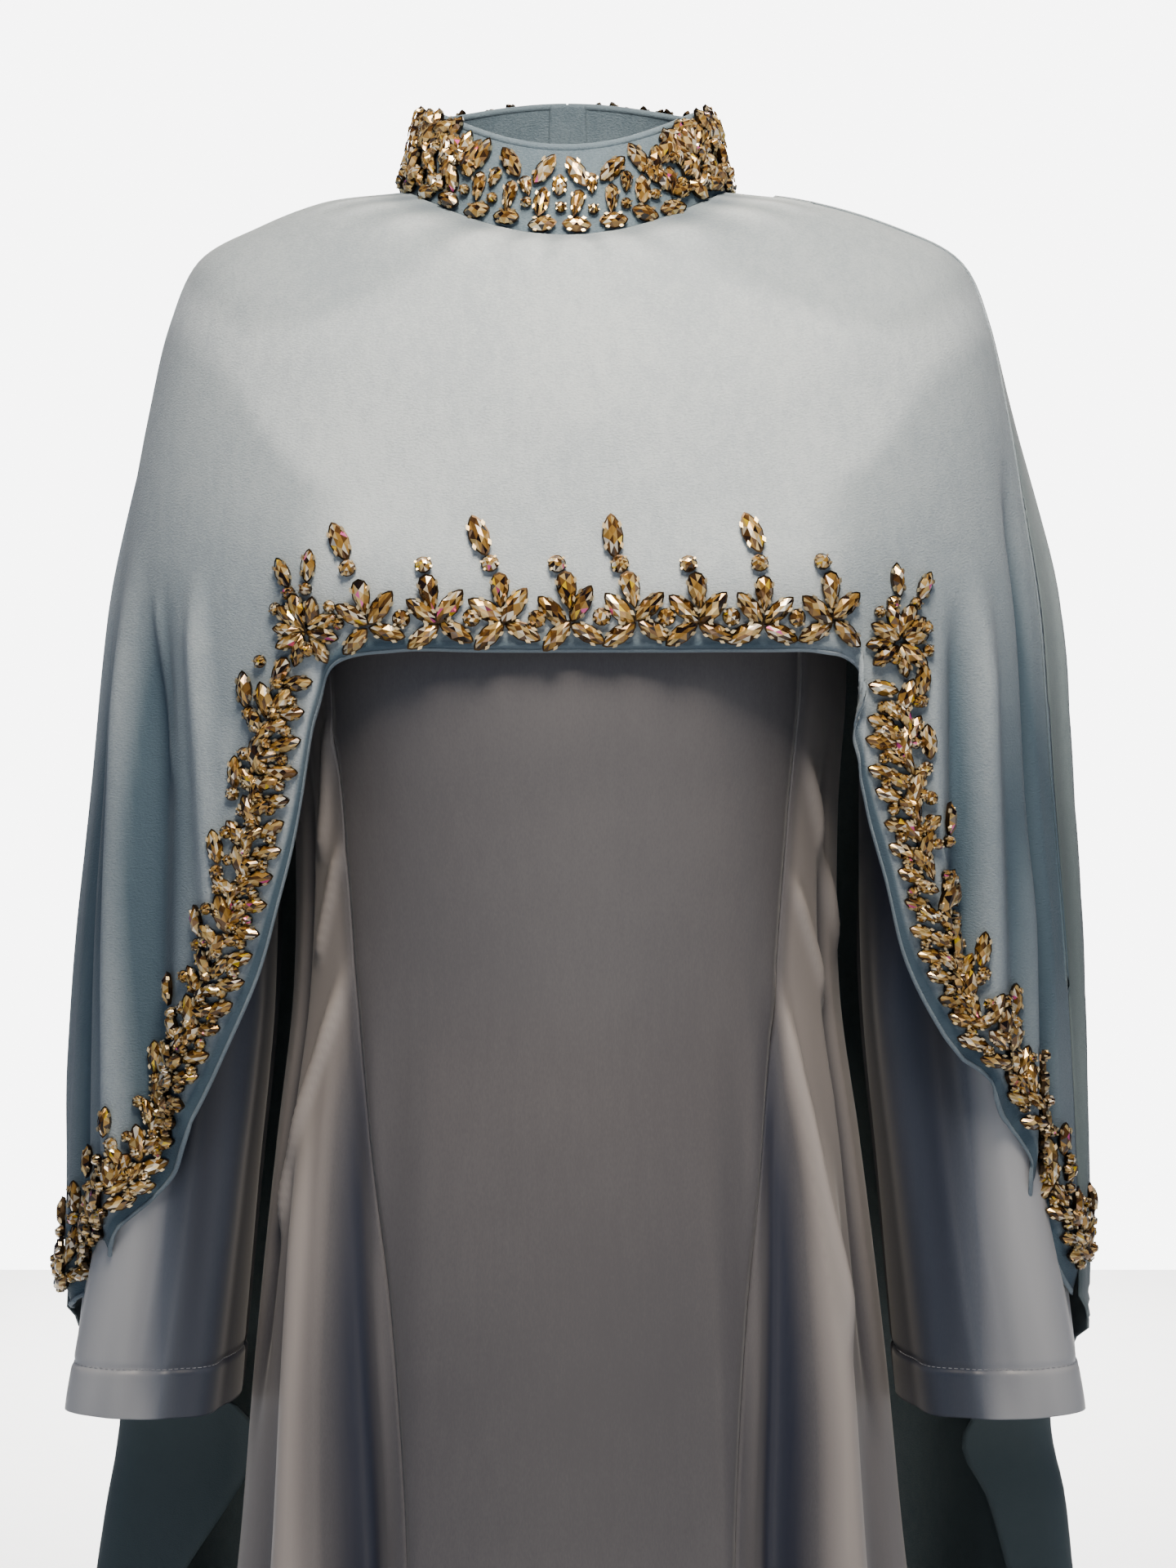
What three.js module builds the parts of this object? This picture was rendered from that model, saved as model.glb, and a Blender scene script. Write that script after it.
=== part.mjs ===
// A full-length evening gown with a long cape, as it stands when it is worn.
// Millimetres, +Z up. The front faces -Y and the wearer's left is at +X.
// The origin lies in the middle of the neck, level with the foot of the collar.
//
// Every piece of cloth is a thin wall over a surface that two numbers describe: an angle round the
// body, 0 at the centre front, 90 at the wearer's left and 180 at the centre back, and the length
// along the side from the neck seam, over the shoulder and down.

import * as THREE from 'three';

// ---- driving dimensions ---------------------------------------------------------------------

const CLOTH = 1.5;              // wall of the gown, the sleeves and the cape
const COLLAR_CLOTH = 2.5;       // the collar is stiffened
const SEAM = 0.3;               // gap between two pieces at a seam
const FLAP_TURN = 15;           // radius at which the free edge of the cape turns in
const STONE_LIFT = 1.5;         // underside of the stones above the cloth
const STONE_RISE = 4.2;         // top of a stone above its underside
const HUB_RISE = 2.4;           // top of the setting in the middle of a motif
const NECK = 1.4;               // half width and height of the neck between two stones of a row

// Rings of the cape. half is the half width, front and back are the depths, and the ring hangs
// lower by dipFront and dipBack at the centre front and back. square 2 is an ellipse.
const CAPE_RINGS = [
  { along: 0, drop: -10, half: 84, front: 72, back: 66, dipFront: 33, dipBack: -15, square: 2.0, middle: -5 },
  { along: 42, drop: -4, half: 125, front: 95, back: 88, dipFront: 41, dipBack: -6, square: 2.1, middle: -5 },
  { along: 84, drop: 9, half: 164, front: 110, back: 102, dipFront: 66, dipBack: 16, square: 2.2, middle: 0 },
  { along: 119, drop: 26, half: 195, front: 120, back: 112, dipFront: 84, dipBack: 44, square: 2.3, middle: 2 },
  { along: 154, drop: 58, half: 209.5, front: 126, back: 118, dipFront: 87, dipBack: 57, square: 2.35, middle: 2 },
  { along: 197, drop: 100, half: 219, front: 130, back: 122, dipFront: 75, dipBack: 50, square: 2.4, middle: 1 },
  { along: 253, drop: 155, half: 229, front: 133, back: 126, dipFront: 50, dipBack: 35, square: 2.4, middle: 0 },
  { along: 309, drop: 210, half: 238, front: 134, back: 130, dipFront: 22, dipBack: 22, square: 2.4, middle: 0 },
  { along: 389, drop: 290, half: 245, front: 130, back: 134, dipFront: 0, dipBack: 0, square: 2.4, middle: 0 },
  { along: 469, drop: 370, half: 253, front: 122, back: 138, dipFront: 0, dipBack: 0, square: 2.4, middle: 0 },
  { along: 549, drop: 450, half: 258, front: 116, back: 144, dipFront: 0, dipBack: 0, square: 2.4, middle: 0 },
  { along: 619, drop: 520, half: 261, front: 112, back: 150, dipFront: 0, dipBack: 0, square: 2.4, middle: 0 },
  { along: 669, drop: 570, half: 263, front: 110, back: 156, dipFront: 0, dipBack: 0, square: 2.4, middle: 0 },
  { along: 749, drop: 650, half: 276, front: 110, back: 165, dipFront: 0, dipBack: 0, square: 2.4, middle: 0 },
  { along: 899, drop: 800, half: 278, front: 110, back: 185, dipFront: 0, dipBack: 0, square: 2.4, middle: 0 },
  { along: 1049, drop: 950, half: 281, front: 110, back: 205, dipFront: 0, dipBack: 0, square: 2.4, middle: 0 },
  { along: 1349, drop: 1250, half: 295, front: 110, back: 250, dipFront: 0, dipBack: 0, square: 2.4, middle: 0 },
  { along: 1534, drop: 1435, half: 318, front: 110, back: 280, dipFront: 0, dipBack: 0, square: 2.4, middle: 0 },
];
const CAPE_LENGTH = CAPE_RINGS[CAPE_RINGS.length - 1].along;

// Soft flutes of the cape. A flute starts at the drop from, stands out by its depth at full, and
// dies away again by gone. The gathers at the wearer's left side are the two that end at the wrist.
const CAPE_FOLDS = [
  { angle: -180, width: 17, depth: 20, from: 220, full: 1435, gone: 9000 },
  { angle: -162, width: 17, depth: -18, from: 260, full: 1435, gone: 9000 },
  { angle: -145, width: 17, depth: 22, from: 200, full: 1435, gone: 9000 },
  { angle: -128, width: 16, depth: -16, from: 280, full: 1435, gone: 9000 },
  { angle: -112, width: 14, depth: 12, from: 700, full: 1435, gone: 9000 },
  { angle: 70, width: 10, depth: -4, from: 100, full: 260, gone: 520 },
  { angle: 90, width: 18, depth: 8, from: 70, full: 190, gone: 560 },
  { angle: 112, width: 14, depth: 12, from: 700, full: 1435, gone: 9000 },
  { angle: 127, width: 16, depth: -18, from: 240, full: 1435, gone: 9000 },
  { angle: 144, width: 17, depth: 20, from: 260, full: 1435, gone: 9000 },
  { angle: 162, width: 17, depth: -20, from: 220, full: 1435, gone: 9000 },
  { angle: 180, width: 17, depth: 20, from: 220, full: 1435, gone: 9000 },
];

// Hem of the front of the cape, from the wearer's right wrist to the left one.
const HEM = [
  { angle: -90, height: -562 },
  { angle: -76, height: -553 },
  { angle: -63.5, height: -534 },
  { angle: -54, height: -508 },
  { angle: -45.5, height: -470 },
  { angle: -38.5, height: -428 },
  { angle: -33.5, height: -388 },
  { angle: -30.3, height: -345 },
  { angle: -28.3, height: -303 },
  { angle: -26.8, height: -262 },
  { angle: -24.5, height: -237 },
  { angle: -17, height: -231 },
  { angle: -8, height: -231 },
  { angle: 0, height: -231 },
  { angle: 8, height: -231 },
  { angle: 17, height: -231 },
  { angle: 25, height: -231 },
  { angle: 30.3, height: -238 },
  { angle: 29.4, height: -268 },
  { angle: 30.3, height: -300 },
  { angle: 32.5, height: -336 },
  { angle: 35.2, height: -378 },
  { angle: 40.5, height: -414 },
  { angle: 48, height: -441 },
  { angle: 56.5, height: -478 },
  { angle: 62, height: -515 },
  { angle: 67, height: -537 },
  { angle: 74, height: -550 },
];

// Seam between the front and the back of the cape, and the free edge of the back below it.
// The edge leaves the ring at the angle fold and turns in for the length flap.
const CAPE_SIDES = {
  right: {
    side: -1, neckAngle: 90, hemAngle: 90,
    edge: [
      { drop: 562, fold: 90, flap: 0 },
      { drop: 575, fold: 98, flap: 0 },
      { drop: 588, fold: 107, flap: 6 },
      { drop: 600, fold: 114, flap: 27 },
      { drop: 612, fold: 118, flap: 60 },
      { drop: 628, fold: 120, flap: 90 },
      { drop: 650, fold: 120, flap: 100 },
      { drop: 680, fold: 118, flap: 88 },
      { drop: 720, fold: 115, flap: 66 },
      { drop: 800, fold: 108, flap: 42 },
      { drop: 950, fold: 102, flap: 26 },
      { drop: 1435, fold: 100, flap: 22 },
    ],
  },
  left: {
    side: 1, neckAngle: 80, hemAngle: 74,
    edge: [
      { drop: 550, fold: 74, flap: 0 },
      { drop: 572, fold: 90, flap: 0 },
      { drop: 590, fold: 103, flap: 6 },
      { drop: 605, fold: 111, flap: 28 },
      { drop: 620, fold: 115, flap: 55 },
      { drop: 645, fold: 116, flap: 72 },
      { drop: 672, fold: 113, flap: 62 },
      { drop: 712, fold: 110, flap: 52 },
      { drop: 800, fold: 105, flap: 38 },
      { drop: 950, fold: 101, flap: 26 },
      { drop: 1435, fold: 100, flap: 22 },
    ],
  },
};

// Where the lengthways lines of the front start at the neck and how far along the hem they end. The
// two middle rows are the corners where the hem turns down to the wrists.
const CAPE_FRONT_LINES = [
  { share: 0, neck: -90 },
  { share: 0.386, neck: -27 },
  { share: 0.649, neck: 30 },
  { share: 1, neck: 80 },
];
const CAPE_FRONT_COLUMNS = 40;
const CAPE_ROWS = 14;                                   // from the neck to the corners of the hem
const CAPE_EDGE_DROPS = [570, 580, 590, 601, 612, 626, 645, 680, 720, 800, 930, 1100, 1270, 1435];
const CAPE_BACK_FLAP_COLUMNS = 3;
const CAPE_BACK_TURN_COLUMNS = 3;
const CAPE_BACK_COLUMNS = 12;

// Rings of the gown, named as those of the cape.
const GOWN_RINGS = [
  { along: 0, drop: -7.6, half: 82.4, front: 70.4, back: 64.4, dipFront: 33, dipBack: -15, square: 2.0, middle: -5 },
  { along: 44, drop: 12, half: 120, front: 88, back: 82, dipFront: 45, dipBack: 8, square: 2.1, middle: -5 },
  { along: 106, drop: 38, half: 176, front: 108, back: 98, dipFront: 70, dipBack: 40, square: 2.2, middle: -3 },
  { along: 188, drop: 120, half: 168, front: 116, back: 100, dipFront: 35, dipBack: 25, square: 2.2, middle: -3 },
  { along: 283, drop: 212, half: 145, front: 120, back: 97, dipFront: 5, dipBack: 0, square: 2.2, middle: -5 },
  { along: 321, drop: 250, half: 143, front: 122, back: 95, dipFront: 0, dipBack: 0, square: 2.2, middle: -5 },
  { along: 381, drop: 310, half: 139, front: 108, back: 88, dipFront: 0, dipBack: 0, square: 2.2, middle: -5 },
  { along: 469, drop: 398, half: 140, front: 92, back: 80, dipFront: 0, dipBack: 0, square: 2.2, middle: -5 },
  { along: 551, drop: 480, half: 150, front: 97, back: 98, dipFront: 0, dipBack: 0, square: 2.2, middle: -4 },
  { along: 651, drop: 580, half: 159, front: 105, back: 118, dipFront: 0, dipBack: 0, square: 2.2, middle: -3 },
  { along: 771, drop: 700, half: 168, front: 118, back: 128, dipFront: 0, dipBack: 0, square: 2.2, middle: -2 },
  { along: 1071, drop: 1000, half: 205, front: 155, back: 165, dipFront: 0, dipBack: 0, square: 2.2, middle: 0 },
  { along: 1530, drop: 1455, half: 262, front: 205, back: 215, dipFront: 0, dipBack: 0, square: 2.2, middle: 0 },
];
const GOWN_LENGTH = GOWN_RINGS[GOWN_RINGS.length - 1].along;

// Angle of the two princess seams of the front.
const PRINCESS_SEAM = [
  { along: 0, angle: 52 },
  { along: 321, angle: 52 },
  { along: 469, angle: 46 },
  { along: 620, angle: 33 },
  { along: 771, angle: 26 },
  { along: 1071, angle: 25 },
  { along: 1530, angle: 25 },
];

// Flare folds of the skirt, the same on both sides. They grow from the waist to the hem.
const SKIRT_FOLDS = [
  { angle: 35, width: 11, depth: -34, from: 405 },
  { angle: 51, width: 11, depth: 26, from: 405 },
  { angle: 66, width: 9, depth: -16, from: 450 },
  { angle: 81, width: 9, depth: 16, from: 480 },
  { angle: 98, width: 10, depth: -20, from: 430 },
  { angle: 114, width: 10, depth: 20, from: 430 },
  { angle: 131, width: 10, depth: -24, from: 430 },
  { angle: 148, width: 10, depth: 24, from: 430 },
  { angle: 165, width: 10, depth: -20, from: 430 },
  { angle: 180, width: 9, depth: 14, from: 430 },
];
const SKIRT_HEM_DROP = GOWN_RINGS[GOWN_RINGS.length - 1].drop;
const SKIRT_FOLD_GROWTH = 0.8;

// The armhole, from the shoulder point to the underarm.
const ARMHOLE = { shoulder: 106, underarm: 283, frontReach: 26, backReach: 24, roundness: 0.6 };

const GOWN_FRONT_COLUMNS = 6;
const GOWN_SIDE_COLUMNS = 8;
const GOWN_BACK_COLUMNS = 11;
const GOWN_BUST_ROWS = [0, 44, 80];
const GOWN_SKIRT_ROWS = [321, 375, 425, 469, 520, 590, 671, 771, 920, 1071, 1224, 1377, 1530];

// Rings of a sleeve of the wearer's left: outer and inner points of the ring, and its half depths.
const SLEEVE_RINGS = [
  { along: 0.07, outerX: 203, outerZ: -62, innerX: 153, innerZ: -212, front: 60, back: 60 },
  { along: 0.16, outerX: 216, outerZ: -110, innerX: 153, innerZ: -222, front: 64, back: 62 },
  { along: 0.30, outerX: 229, outerZ: -215, innerX: 150, innerZ: -265, front: 66, back: 62 },
  { along: 0.60, outerX: 244, outerZ: -400, innerX: 151, innerZ: -400, front: 66, back: 60 },
  { along: 0.80, outerX: 248, outerZ: -500, innerX: 160, innerZ: -500, front: 66, back: 54 },
  { along: 1.00, outerX: 260, outerZ: -606, innerX: 169, innerZ: -606, front: 70, back: 50 },
];
const SLEEVE_ROWS = [0, 0.07, 0.12, 0.17, 0.23, 0.30, 0.40, 0.52, 0.65, 0.82, 1];
const SLEEVE_COLUMNS = 12;
const SLEEVE_SEAM = 0.8;          // the sleeve starts this far outside the edge of the armhole
const SLEEVE_SHIFT = -4;          // the inner side follows the body, which stands off the middle

// The standing collar from its upper edge down to its foot, open by a slit at the centre back.
const COLLAR_RINGS = [
  { along: 0, drop: -51, half: 72, front: 60, back: 56, dipFront: 28, dipBack: -17, square: 2, middle: -5 },
  { along: 46, drop: -8.5, half: 82.6, front: 70, back: 64.2, dipFront: 33, dipBack: -15, square: 2, middle: -5 },
];
const COLLAR_HEIGHT = COLLAR_RINGS[1].along;
const COLLAR_COLUMNS = 32;
const COLLAR_SLIT = 0.4;        // half of the slit, in degrees

// Stones round the hub of a motif. turn is a share of the way from the middle of the motif to the
// link with the next one, or, past 1, one more than the share from the link to the hem. It is
// positive clockwise. A row of stones is one arm.
const HEM_MOTIF = [
  { turn: 0, stones: [{ from: 4, to: 22, half: 3.8 }, { from: 22, to: 31.5, half: 4.2 }, { from: 31.5, to: 50, half: 4.2 }] },
  { turn: 0.49, stones: [{ from: 1, to: 18.7, half: 3.6 }] },
  { turn: -0.49, stones: [{ from: 1, to: 18.7, half: 3.6 }] },
  { turn: 1.42, stones: [{ from: 1, to: 17.5, half: 3.2 }] },
  { turn: -1.42, stones: [{ from: 1, to: 17.5, half: 3.2 }] },
];
// The motifs of the flanks are smaller, and their rows and leaves lie over uphill.
const FLANK_MOTIF = [
  { turn: 0, stones: [{ from: 3.5, to: 17, half: 3 }, { from: 17, to: 23.5, half: 3.2 }, { from: 23.5, to: 34, half: 3 }] },
  { turn: -0.46, stones: [{ from: 1, to: 15, half: 3 }] },
  { turn: -0.95, stones: [{ from: 1, to: 11, half: 2.4 }] },
];
const FLANK_LEAVES = [
  { turn: 1.62, stones: [{ from: 1, to: 14, half: 2.8 }] },
  { turn: -1.62, stones: [{ from: 1, to: 14, half: 2.8 }] },
];
const COLLAR_MOTIF = [
  { turn: 0, stones: [{ from: 3, to: 19, half: 3.4 }] },
  { turn: 0.46, stones: [{ from: 2, to: 20, half: 3.4 }] },
  { turn: -0.46, stones: [{ from: 2, to: 20, half: 3.4 }] },
  { turn: 1.5, stones: [{ from: 2, to: 19, half: 3.4 }] },
  { turn: -1.5, stones: [{ from: 2, to: 19, half: 3.4 }] },
  { turn: 2, stones: [{ from: 3, to: 16, half: 3 }] },
];
// The border by its share of the hem: how far its hubs stand in from the edge, how far apart they
// are, and how far their rows lie over.
const HEM_BORDER = [
  { share: 0, rise: 17, pitch: 22, turn: 0.22 },
  { share: 0.15, rise: 17, pitch: 25, turn: 0.24 },
  { share: 0.25, rise: 18, pitch: 23, turn: 0.36 },
  { share: 0.31, rise: 20, pitch: 20, turn: 0.46 },
  { share: 0.37, rise: 19, pitch: 21, turn: 0.44 },
  { share: 0.41, rise: 14.5, pitch: 30.2, turn: -0.08 },
  { share: 0.55, rise: 14.5, pitch: 30.2, turn: -0.08 },
  { share: 0.62, rise: 14.5, pitch: 30.2, turn: 0 },
  { share: 0.67, rise: 19, pitch: 21, turn: -0.44 },
  { share: 0.74, rise: 20, pitch: 20, turn: -0.46 },
  { share: 0.81, rise: 18, pitch: 22, turn: -0.36 },
  { share: 0.88, rise: 17, pitch: 25, turn: -0.24 },
  { share: 1, rise: 17, pitch: 22, turn: -0.22 },
];
const HEM_FRONT = [0.396, 0.646];  // the shares between which the motifs are those of the front
const HEM_END = 8;              // the border stops this far from the ends of the hem
const HEM_FIRST_HUB = 420;      // along the hem from the wearer's right, the hub of a long row
const COLLAR_PITCH = 24.5;
const COLLAR_STONES_END = 166;  // the last motif of the collar, in degrees from the centre front

// ---- numbers, tables and surfaces ------------------------------------------------------------

const radians = THREE.MathUtils.degToRad;
const clamp = THREE.MathUtils.clamp;
const mix = THREE.MathUtils.lerp;
const even = (count) => Array.from({ length: count + 1 }, (_, i) => i / count);

// A column of a table at a place between its rows, on a smooth curve through them.
function reading(table, key, column, place) {
  const last = table.length - 1;
  let row = 0;
  while (row < last - 1 && place > table[row + 1][key]) row += 1;
  const slope = (i) => {
    const before = table[Math.max(i - 1, 0)];
    const after = table[Math.min(i + 1, last)];
    return (after[column] - before[column]) / (after[key] - before[key]);
  };
  const span = table[row + 1][key] - table[row][key];
  const t = clamp((place - table[row][key]) / span, 0, 1);
  const rise = t * t * (3 - 2 * t);
  return mix(table[row][column], table[row + 1][column], rise)
    + span * slope(row) * t * (1 - t) ** 2
    - span * slope(row + 1) * t * t * (1 - t);
}

// How far the folds in a table push the cloth out at an angle and a drop.
function foldDepth(folds, angle, growth) {
  return folds.reduce((sum, fold) => {
    const away = Math.abs(angle - fold.angle) / fold.width;
    return away >= 1 ? sum : sum + fold.depth * growth(fold) * Math.cos(away * Math.PI / 2) ** 2;
  }, 0);
}

// A point of a ring at an angle, pushed out across the ring by the depth of its folds.
function ringPoint(rings, along, angle, depthAt = null) {
  const value = (column) => reading(rings, 'along', column, along);
  const [drop, half, power, middle] = [value('drop'), value('half'), 2 / value('square'), value('middle')];
  const [front, back, dipFront, dipBack] = ['front', 'back', 'dipFront', 'dipBack'].map(value);
  const flat = (degrees) => {
    const sine = Math.sin(radians(degrees));
    const cosine = Math.cos(radians(degrees));
    const depth = cosine > 0 ? front : back;
    return new THREE.Vector3(
      middle + half * Math.sign(sine) * Math.abs(sine) ** power,
      -depth * Math.sign(cosine) * Math.abs(cosine) ** power,
      -drop - (cosine > 0 ? dipFront : dipBack) * cosine * cosine,
    );
  };
  const point = flat(angle);
  if (depthAt) {
    const tangent = flat(angle + 1).sub(flat(angle - 1));
    const out = new THREE.Vector3(tangent.y, -tangent.x, 0).normalize();
    point.addScaledVector(out, depthAt(angle, drop));
  }
  return point;
}

function capePoint(angle, along) {
  const { smoothstep } = THREE.MathUtils;
  const growth = (drop) => ({ from, full, gone }) => (
    smoothstep(drop, from, full) ** 0.7 * (1 - smoothstep(drop, full, gone))
  );
  return ringPoint(CAPE_RINGS, along, angle, (a, drop) => foldDepth(CAPE_FOLDS, a, growth(drop)));
}

function gownPoint(angle, along) {
  const growth = (drop) => (fold) => (
    Math.max(0, (drop - fold.from) / (SKIRT_HEM_DROP - fold.from)) ** SKIRT_FOLD_GROWTH
  );
  const depthAt = (a, drop) => foldDepth(SKIRT_FOLDS, Math.abs(a), growth(drop));
  return ringPoint(GOWN_RINGS, along, angle, depthAt);
}

const collarPoint = (angle, along) => ringPoint(COLLAR_RINGS, along, angle);

// Half the gap of a seam, as an angle on a ring.
function seamAngle(rings, along) {
  return THREE.MathUtils.radToDeg(SEAM / 2 / reading(rings, 'along', 'half', along));
}

// The length along the cape at which an angle reaches a height.
function alongAt(angle, height) {
  let [low, high] = [0, CAPE_LENGTH];
  for (let i = 0; i < 40; i += 1) {
    const half = (low + high) / 2;
    if (ringPoint(CAPE_RINGS, half, angle).z > height) low = half;
    else high = half;
  }
  return (low + high) / 2;
}

// ---- solids ------------------------------------------------------------------------------------

function geometryOf(points, faces) {
  const geometry = new THREE.BufferGeometry();
  geometry.setAttribute('position', new THREE.Float32BufferAttribute(points.flatMap((p) => p.toArray()), 3));
  geometry.setIndex(faces);
  geometry.computeVertexNormals();
  return geometry;
}

// A wall of cloth over a grid of a surface. at gives its outer face; across runs with the angle
// and down runs away from the neck. A closed wall joins its last column to its first.
function wall(at, across, down, thickness, closed = false) {
  const columns = closed ? across.length - 1 : across.length;
  const acrossStep = 0.002;
  const downStep = (down[down.length - 1] - down[0]) * 0.001;
  const within = (value, list) => clamp(value, list[0], list[list.length - 1]);
  const inward = (u, v) => {
    const [left, right] = closed ? [u - acrossStep, u + acrossStep]
      : [within(u - acrossStep, across), within(u + acrossStep, across)];
    const byU = at(right, v).sub(at(left, v));
    const byV = at(u, within(v + downStep, down)).sub(at(u, within(v - downStep, down)));
    return byU.cross(byV).normalize();
  };
  const points = [];
  for (const v of down) {
    for (const u of across.slice(0, columns)) {
      const outer = at(u, v);
      points.push(outer, outer.clone().addScaledVector(inward(u, v), thickness));
    }
  }
  const outer = (i, j) => 2 * (j * columns + (i % columns));
  const inner = (i, j) => outer(i, j) + 1;
  const faces = [];
  const quad = (a, b, c, d) => faces.push(a, b, c, a, c, d);
  const lastColumn = across.length - 1;
  const lastRow = down.length - 1;
  for (let j = 0; j < lastRow; j += 1) {
    for (let i = 0; i < lastColumn; i += 1) {
      quad(outer(i, j), outer(i, j + 1), outer(i + 1, j + 1), outer(i + 1, j));
      quad(inner(i, j), inner(i + 1, j), inner(i + 1, j + 1), inner(i, j + 1));
    }
  }
  for (let i = 0; i < lastColumn; i += 1) {
    quad(outer(i, 0), outer(i + 1, 0), inner(i + 1, 0), inner(i, 0));
    quad(outer(i, lastRow), inner(i, lastRow), inner(i + 1, lastRow), outer(i + 1, lastRow));
  }
  if (!closed) {
    for (let j = 0; j < lastRow; j += 1) {
      quad(inner(0, j), inner(0, j + 1), outer(0, j + 1), outer(0, j));
      quad(inner(lastColumn, j), outer(lastColumn, j), outer(lastColumn, j + 1), inner(lastColumn, j + 1));
    }
  }
  return geometryOf(points, faces);
}

// ---- the gown --------------------------------------------------------------------------------

const armholeShare = (along) => (along - ARMHOLE.shoulder) / (ARMHOLE.underarm - ARMHOLE.shoulder);

// Angle of the side seam, which widens into the armhole by the reach.
function sideAngle(along, reach) {
  const share = clamp(armholeShare(along), 0, 1);
  return 90 + reach * Math.sin(Math.PI * share) ** ARMHOLE.roundness;
}

// The rows of the armhole lie where the lengthways lines of the sleeve start.
const ARMHOLE_ROWS = even(SLEEVE_COLUMNS / 2).map((share) => (
  mix(ARMHOLE.shoulder, ARMHOLE.underarm, (1 - Math.cos(share * Math.PI)) / 2)
));
const GOWN_ROWS = [...GOWN_BUST_ROWS, ...ARMHOLE_ROWS, ...GOWN_SKIRT_ROWS];

// A panel of the gown between two seams, each an angle that changes along the gown.
function gownPanel(fromSeam, toSeam, columns) {
  const at = (u, along) => {
    const gap = seamAngle(GOWN_RINGS, along);
    return gownPoint(mix(fromSeam(along) + gap, toSeam(along) - gap, u), along);
  };
  return wall(at, even(columns), GOWN_ROWS, CLOTH);
}

const princess = (along) => reading(PRINCESS_SEAM, 'along', 'angle', along);
const frontEdge = (along) => sideAngle(along, -ARMHOLE.frontReach);
const backEdge = (along) => sideAngle(along, ARMHOLE.backReach);
const mirrored = (seam) => (along) => -seam(along);
const centreBack = () => 180;

// ---- the sleeves ------------------------------------------------------------------------------

// A point of a sleeve. round is 0 at its front, 0.25 on the outside, 0.5 behind, 0.75 at the body.
function sleevePoint(side, round, along) {
  const turn = side * round * 2 * Math.PI;
  const sine = side * Math.sin(turn);
  const cosine = Math.cos(turn);
  const first = SLEEVE_RINGS[0].along;
  const value = (column) => reading(SLEEVE_RINGS, 'along', column, Math.max(along, first));
  const outward = (1 + sine) / 2;
  const ring = new THREE.Vector3(
    mix(side * value('innerX') + SLEEVE_SHIFT, side * value('outerX'), outward),
    cosine > 0 ? -value('front') * cosine : -value('back') * cosine,
    mix(value('innerZ'), value('outerZ'), outward),
  );
  if (along >= first) return ring;
  const armholeAlong = mix(ARMHOLE.underarm, ARMHOLE.shoulder, outward);
  const edge = cosine > 0 ? frontEdge(armholeAlong) : backEdge(armholeAlong);
  const armhole = gownPoint(side * edge, armholeAlong);
  armhole.x += side * SLEEVE_SEAM;
  return armhole.lerp(ring, along / first);
}

function sleeve(side) {
  return wall((u, v) => sleevePoint(side, u, v), even(SLEEVE_COLUMNS), SLEEVE_ROWS, CLOTH, true);
}

// ---- the cape ----------------------------------------------------------------------------------

// The hem of the front as a curve through its table, by the share of its rows.
function hemAt(share) {
  const place = clamp(share, 0, 1) * (HEM.length - 1);
  const rows = HEM.map((row, index) => ({ ...row, index }));
  return {
    angle: reading(rows, 'index', 'angle', place),
    height: reading(rows, 'index', 'height', place),
  };
}

// The hem again, measured: its points in order with the length walked from the first.
const HEM_LINE = [];
for (const share of even(400)) {
  const { angle, height } = hemAt(share);
  const along = alongAt(angle, height);
  const point = capePoint(angle, along);
  const before = HEM_LINE[HEM_LINE.length - 1];
  HEM_LINE.push({ angle, along, point, walked: before ? before.walked + point.distanceTo(before.point) : 0 });
}
const HEM_LENGTH = HEM_LINE[HEM_LINE.length - 1].walked;

function hemByLength(length) {
  const wanted = clamp(length, 0, HEM_LENGTH);
  const index = clamp(HEM_LINE.findIndex((row) => row.walked >= wanted), 1, HEM_LINE.length - 1);
  const [before, after] = [HEM_LINE[index - 1], HEM_LINE[index]];
  const share = (wanted - before.walked) / (after.walked - before.walked);
  return { angle: mix(before.angle, after.angle, share), along: mix(before.along, after.along, share) };
}

// Rows of the cape crowd towards the neck where the cloth reaches far past the shoulder.
const rowPower = (length) => 1 + 0.6 * clamp((length - 205) / 445, 0, 1);
const capeRow = (share, length) => length * share ** rowPower(length);

function capeFrontPoint(u, share) {
  const hem = hemByLength(u * HEM_LENGTH);
  const along = capeRow(share, hem.along);
  const row = Math.max(1, CAPE_FRONT_LINES.findIndex((line) => line.share >= u));
  const [from, to] = [CAPE_FRONT_LINES[row - 1], CAPE_FRONT_LINES[row]];
  const neckAngle = THREE.MathUtils.mapLinear(u, from.share, to.share, from.neck, to.neck);
  const gap = seamAngle(CAPE_RINGS, along);
  const bend = (u > 0 && u < 1) ? 3 : 1;
  return capePoint(mix(neckAngle, hem.angle, share ** bend) + mix(gap, -gap, u), along);
}

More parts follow.
